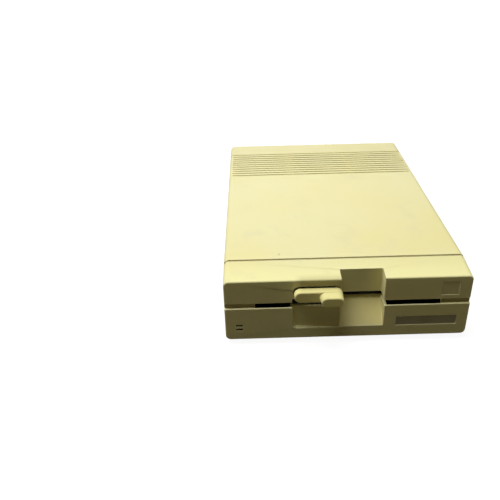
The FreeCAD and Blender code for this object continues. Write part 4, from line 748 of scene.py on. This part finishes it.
def soften(node, material, edge_material):
    """A bevelled copy of a node, with a finish of its own on the bevels."""
    mesh = kept_shape(merged_shape(node), node + "_soft")
    mesh.materials.clear()
    mesh.materials.append(material)
    mesh.materials.append(edge_material)
    piece = add_object(node + "_soft", mesh)
    bevel = piece.modifiers.new("bevel", "BEVEL")
    bevel.width = EDGE_SOFTNESS
    bevel.segments = EDGE_SEGMENTS
    bevel.limit_method = "ANGLE"
    bevel.angle_limit = SHARP
    bevel.use_clamp_overlap = False
    bevel.material = EDGE_SLOT
    keep_mesh(piece)
    settle(piece.data, node)
    set_normals(piece.data)
    plain_edges(piece.data, ("power_led", "drive_led"))
    return piece


# The paler colour of this edge finish is a painted highlight, as well as wear.
rubbed_edge = grained("rubbed_edge", (0.88, 0.83, 0.52), (0.82, 0.77, 0.45), 0.36, 0.4)
for shell in ("bottom_shell", "top_cover"):
    piece = soften(shell, case_plastic, rubbed_edge)
    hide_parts(shell)
    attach(piece, "case")
    print(piece.name, len(piece.data.polygons), "faces")

# %% [markdown]
# ## Feet, screws and contacts
#
# These repeat, so Geometry Nodes set them out. Each tree takes a stamp, which is one foot, screw
# or contact that was turned on a lathe in mesh code, and a few points. It cuts a cross into the
# head where there is one, sets a copy on every point with its own turn, makes the copies real
# and gives them their finish. The result is kept as a plain mesh.

# %% A lathe, and the places of a node's solids
def lathe(name, profile, steps):
    """Turns (radius, height) points in millimetres about Z. A closed profile gives a tube."""
    shape = bmesh.new()
    rings = []
    for radius, height in profile:
        count = steps if radius else 1
        angles = [math.tau * k / steps for k in range(count)]
        places = [(radius * MM * math.cos(angle), radius * MM * math.sin(angle), height * MM)
                  for angle in angles]
        rings.append([shape.verts.new(place) for place in places])
    pairs = list(zip(rings, rings[1:]))
    if len(rings[0]) > 1:
        pairs.append((rings[-1], rings[0]))
    for low, high in pairs:
        for k in range(steps):
            ring = (low[k % len(low)], low[(k + 1) % len(low)],
                    high[(k + 1) % len(high)], high[k % len(high)])
            shape.faces.new(dict.fromkeys(ring))
    bmesh.ops.recalc_face_normals(shape, faces=shape.faces)
    mesh = kept_shape(shape, name)
    mesh.set_sharp_from_angle(angle=SHARP)
    return mesh


def solid_boxes(node):
    """The lowest and highest corner of each separate solid of a node."""
    shape = merged_shape(node)
    left = set(shape.verts)
    boxes = []
    while left:
        front = [left.pop()]
        solid = list(front)
        while front:
            near = {edge.other_vert(front[-1]) for edge in front[-1].link_edges} & left
            front.pop()
            left -= near
            front += near
            solid += near
        places = [vert.co for vert in solid]
        boxes.append([Vector(pick(place[i] for place in places) for i in range(3))
                      for pick in (min, max)])
    shape.free()
    return sorted(boxes, key=lambda box: tuple(round(v, 4) for v in box[0]))


for low, high in solid_boxes("case_screws"):
    print("case screw at", [round(v / MM, 1) for v in (low + high) / 2])

# %% The tree that sets out copies of a stamp
SCATTER_INPUTS = [
    ("Points", "Geometry"), ("Stamp", "Object"), ("Finish", "Material"),
    ("Tilt", "Float"), ("Turn", "Float"), ("Seed", "Int"),
    ("Cross length", "Float"), ("Cross width", "Float"), ("Cross depth", "Float"),
]
RANDOM_MOST, RANDOM_VALUE = 3, 1  # the sockets of a Random Value node that hold a plain number


def scatter_tree(name, crossed):
    """Sets a stamp on every point. A crossed stamp gets two slots, cut down from height 0."""
    tree = bpy.data.node_groups.new(name, "GeometryNodeTree")
    for label, kind in SCATTER_INPUTS:
        tree.interface.new_socket(label, in_out="INPUT", socket_type="NodeSocket" + kind)
    tree.interface.new_socket("Geometry", in_out="OUTPUT", socket_type="NodeSocketGeometry")
    link = tree.links.new
    given = add_node(tree, "NodeGroupInput").outputs
    stamp = add_node(tree, "GeometryNodeObjectInfo")
    link(given["Stamp"], stamp.inputs["Object"])
    shape = stamp.outputs["Geometry"]
    if crossed:
        cut = add_node(tree, "GeometryNodeMeshBoolean", operation="DIFFERENCE")
        link(shape, cut.inputs["Mesh 1"])
        for order in (("Cross length", "Cross width"), ("Cross width", "Cross length")):
            size = add_node(tree, "ShaderNodeCombineXYZ")
            for i, label in enumerate((*order, "Cross depth")):
                link(given[label], size.inputs[i])
            slot = add_node(tree, "GeometryNodeMeshCube")
            link(size.outputs[0], slot.inputs["Size"])
            link(slot.outputs["Mesh"], cut.inputs["Mesh 2"])
        shape = cut.outputs["Mesh"]
    turn = add_node(tree, "FunctionNodeRandomValue", data_type="FLOAT")
    link(given["Turn"], turn.inputs[RANDOM_MOST])
    link(given["Seed"], turn.inputs["Seed"])
    pose = add_node(tree, "ShaderNodeCombineXYZ")
    link(given["Tilt"], pose.inputs[0])
    link(turn.outputs[RANDOM_VALUE], pose.inputs[2])
    copies = add_node(tree, "GeometryNodeInstanceOnPoints")
    link(given["Points"], copies.inputs["Points"])
    link(shape, copies.inputs["Instance"])
    link(pose.outputs[0], copies.inputs["Rotation"])
    real = add_node(tree, "GeometryNodeRealizeInstances")
    link(copies.outputs[0], real.inputs[0])
    finish = add_node(tree, "GeometryNodeSetMaterial")
    link(real.outputs[0], finish.inputs["Geometry"])
    link(given["Finish"], finish.inputs["Material"])
    link(finish.outputs[0], add_node(tree, "NodeGroupOutput").inputs[0])
    return tree


PLAIN_TREE = scatter_tree("set_out", False)
CROSSED_TREE = scatter_tree("set_out_crossed", True)


def set_out(name, tree, stamp_mesh, points, values):
    """Runs a tree on some points and keeps what it makes as a mesh."""
    stamp = add_object(name + "_stamp", stamp_mesh)
    mesh = bpy.data.meshes.new(name)
    mesh.from_pydata([tuple(point) for point in points], [], [])
    piece = add_object(name, mesh)
    scatter = piece.modifiers.new("scatter", "NODES")
    scatter.node_group = tree
    keys = {item.name: item.identifier for item in tree.interface.items_tree
            if item.in_out == "INPUT"}
    scatter[keys["Stamp"]] = stamp
    for label, value in values.items():
        scatter[keys[label]] = value
    keep_mesh(piece)
    bpy.data.objects.remove(stamp)
    print(name, len(points), "copies,", len(piece.data.polygons), "faces")
    return piece


print("trees ready:", PLAIN_TREE.name, CROSSED_TREE.name)

# %% [markdown]
# A foot is a rubber pad with a rounded rim, and a shallow cup with a ring of tread inside it.
# It carries the drive on its lowest ring, so the cup never touches the table.

# %% Feet
FOOT_PROFILE = [
    (0, 0.9), (1.2, 0.9), (1.5, 0.6), (2.4, 0.6), (2.7, 0.9), (3.9, 0.9), (4.3, 0.25), (4.7, 0),
    (6.0, 0), (6.5, 0.25), (6.85, 0.8), (7, 1.6), (7, 3.2), (6.85, 3.6), (6.9, 4.0), (6.9, 4.5),
    (0, 4.5),
]
FOOT_STEPS = 64
FEET = ("foot_front_left", "foot_front_right", "foot_rear_left", "foot_rear_right")
foot_places = []
for node in FEET:
    low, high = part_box(node)
    foot_places.append(((low[0] + high[0]) / 2, (low[1] + high[1]) / 2, 0))
feet = set_out("feet", PLAIN_TREE, lathe("foot_stamp", FOOT_PROFILE, FOOT_STEPS), foot_places,
               {"Finish": rubber, "Turn": math.tau, "Seed": 3})
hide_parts(*FEET)
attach(feet, "case")

# %% [markdown]
# Every screw has a domed pan head with a cross in it and a threaded shank. The case and the
# mechanism are held from below, so those screws are set with their heads down. The small
# screws of the logic board stand the other way up.

# %% Screws
SCREW_STEPS = 20
THREAD_PITCH = 0.8
THREAD_DEPTH = 0.22
THREAD_START = 0.4
PLAIN_LENGTH = 1.6
POINT_LENGTH = 1
CROSS_WIDTH = 0.22  # of the head's radius


def screw_profile(head, thick, shank, length):
    """A domed head that ends at height 0, and a shank with rings for its thread."""
    core = shank - THREAD_DEPTH
    dome = [(0, 0), (0.45 * head, -0.03), (0.75 * head, -0.2), (0.93 * head, -0.55), (head, -1),
            (head, -thick)]
    thread = []
    for k in range(int((length - PLAIN_LENGTH) / THREAD_PITCH)):
        top = -thick - THREAD_START - k * THREAD_PITCH
        thread += [(shank, top), (shank, top - 0.25 * THREAD_PITCH),
                   (core, top - 0.6 * THREAD_PITCH)]
    end = -thick - length
    point = [(core, end + POINT_LENGTH), (0.4 * shank, end), (0, end)]
    return dome + [(core, -thick)] + thread + point


SCREWS = [
    # node, head radius, head thickness, shank radius, seed
    ("case_screws", 3, 2.2, 1.5, 5),
    ("mechanism_screws", 3, 2.2, 1.5, 8),
    ("board_screws", 2.4, 1.6, 1.15, 11),
]
for node, head, thick, shank, seed in SCREWS:
    from_above = node == "board_screws"
    boxes = solid_boxes(node)
    length = (boxes[0][1].z - boxes[0][0].z) / MM - thick
    stamp = lathe(node + "_stamp", screw_profile(head, thick, shank, length), SCREW_STEPS)
    places = [(*((low + high) / 2).xy, high.z if from_above else low.z) for low, high in boxes]
    piece = set_out(node + "_turned", CROSSED_TREE, stamp, places, {
        "Finish": steel, "Tilt": 0.0 if from_above else math.pi, "Turn": math.tau, "Seed": seed,
        "Cross length": head * MM, "Cross width": CROSS_WIDTH * head * MM,
        "Cross depth": thick * MM,
    })
    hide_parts(node)
    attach(piece, "case")

# %% [markdown]
# The round sockets have a sprung sleeve in each contact hole. A sleeve is a thin brass tube
# with a flared mouth. Two sockets have six contacts on a ring, and the power inlet has four.

# %% Contact sleeves
CONTACT_RING = 3.4
CONTACT_ROWS = [
    # node, first angle and step in degrees
    ("serial_socket_a", 0, 60),
    ("serial_socket_b", 0, 60),
    ("power_inlet", 45, 90),
]
SLEEVE_PROFILE = [
    (0.52, 0), (0.72, 0), (0.76, -0.3), (0.72, -0.7), (0.72, -6), (0.45, -6), (0.45, -0.5),
]
SLEEVE_STEPS = 12
SLEEVE_SINK = 1.6
contact_places = []
for node, first, step in CONTACT_ROWS:
    low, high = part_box(node)
    middle = (low + high) / 2
    for angle in range(first, 360, step):
        turned = math.radians(angle)
        contact_places.append((middle.x + CONTACT_RING * MM * math.cos(turned),
                               high.y - SLEEVE_SINK * MM,
                               middle.z + CONTACT_RING * MM * math.sin(turned)))
sleeve_stamp = lathe("sleeve_stamp", SLEEVE_PROFILE, SLEEVE_STEPS)
sleeves = set_out("contact_sleeves", PLAIN_TREE, sleeve_stamp, contact_places,
                  {"Finish": brass, "Tilt": -math.pi / 2, "Turn": 0.0, "Seed": 1})
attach(sleeves, "case")

# %% Measure and finish
low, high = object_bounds()
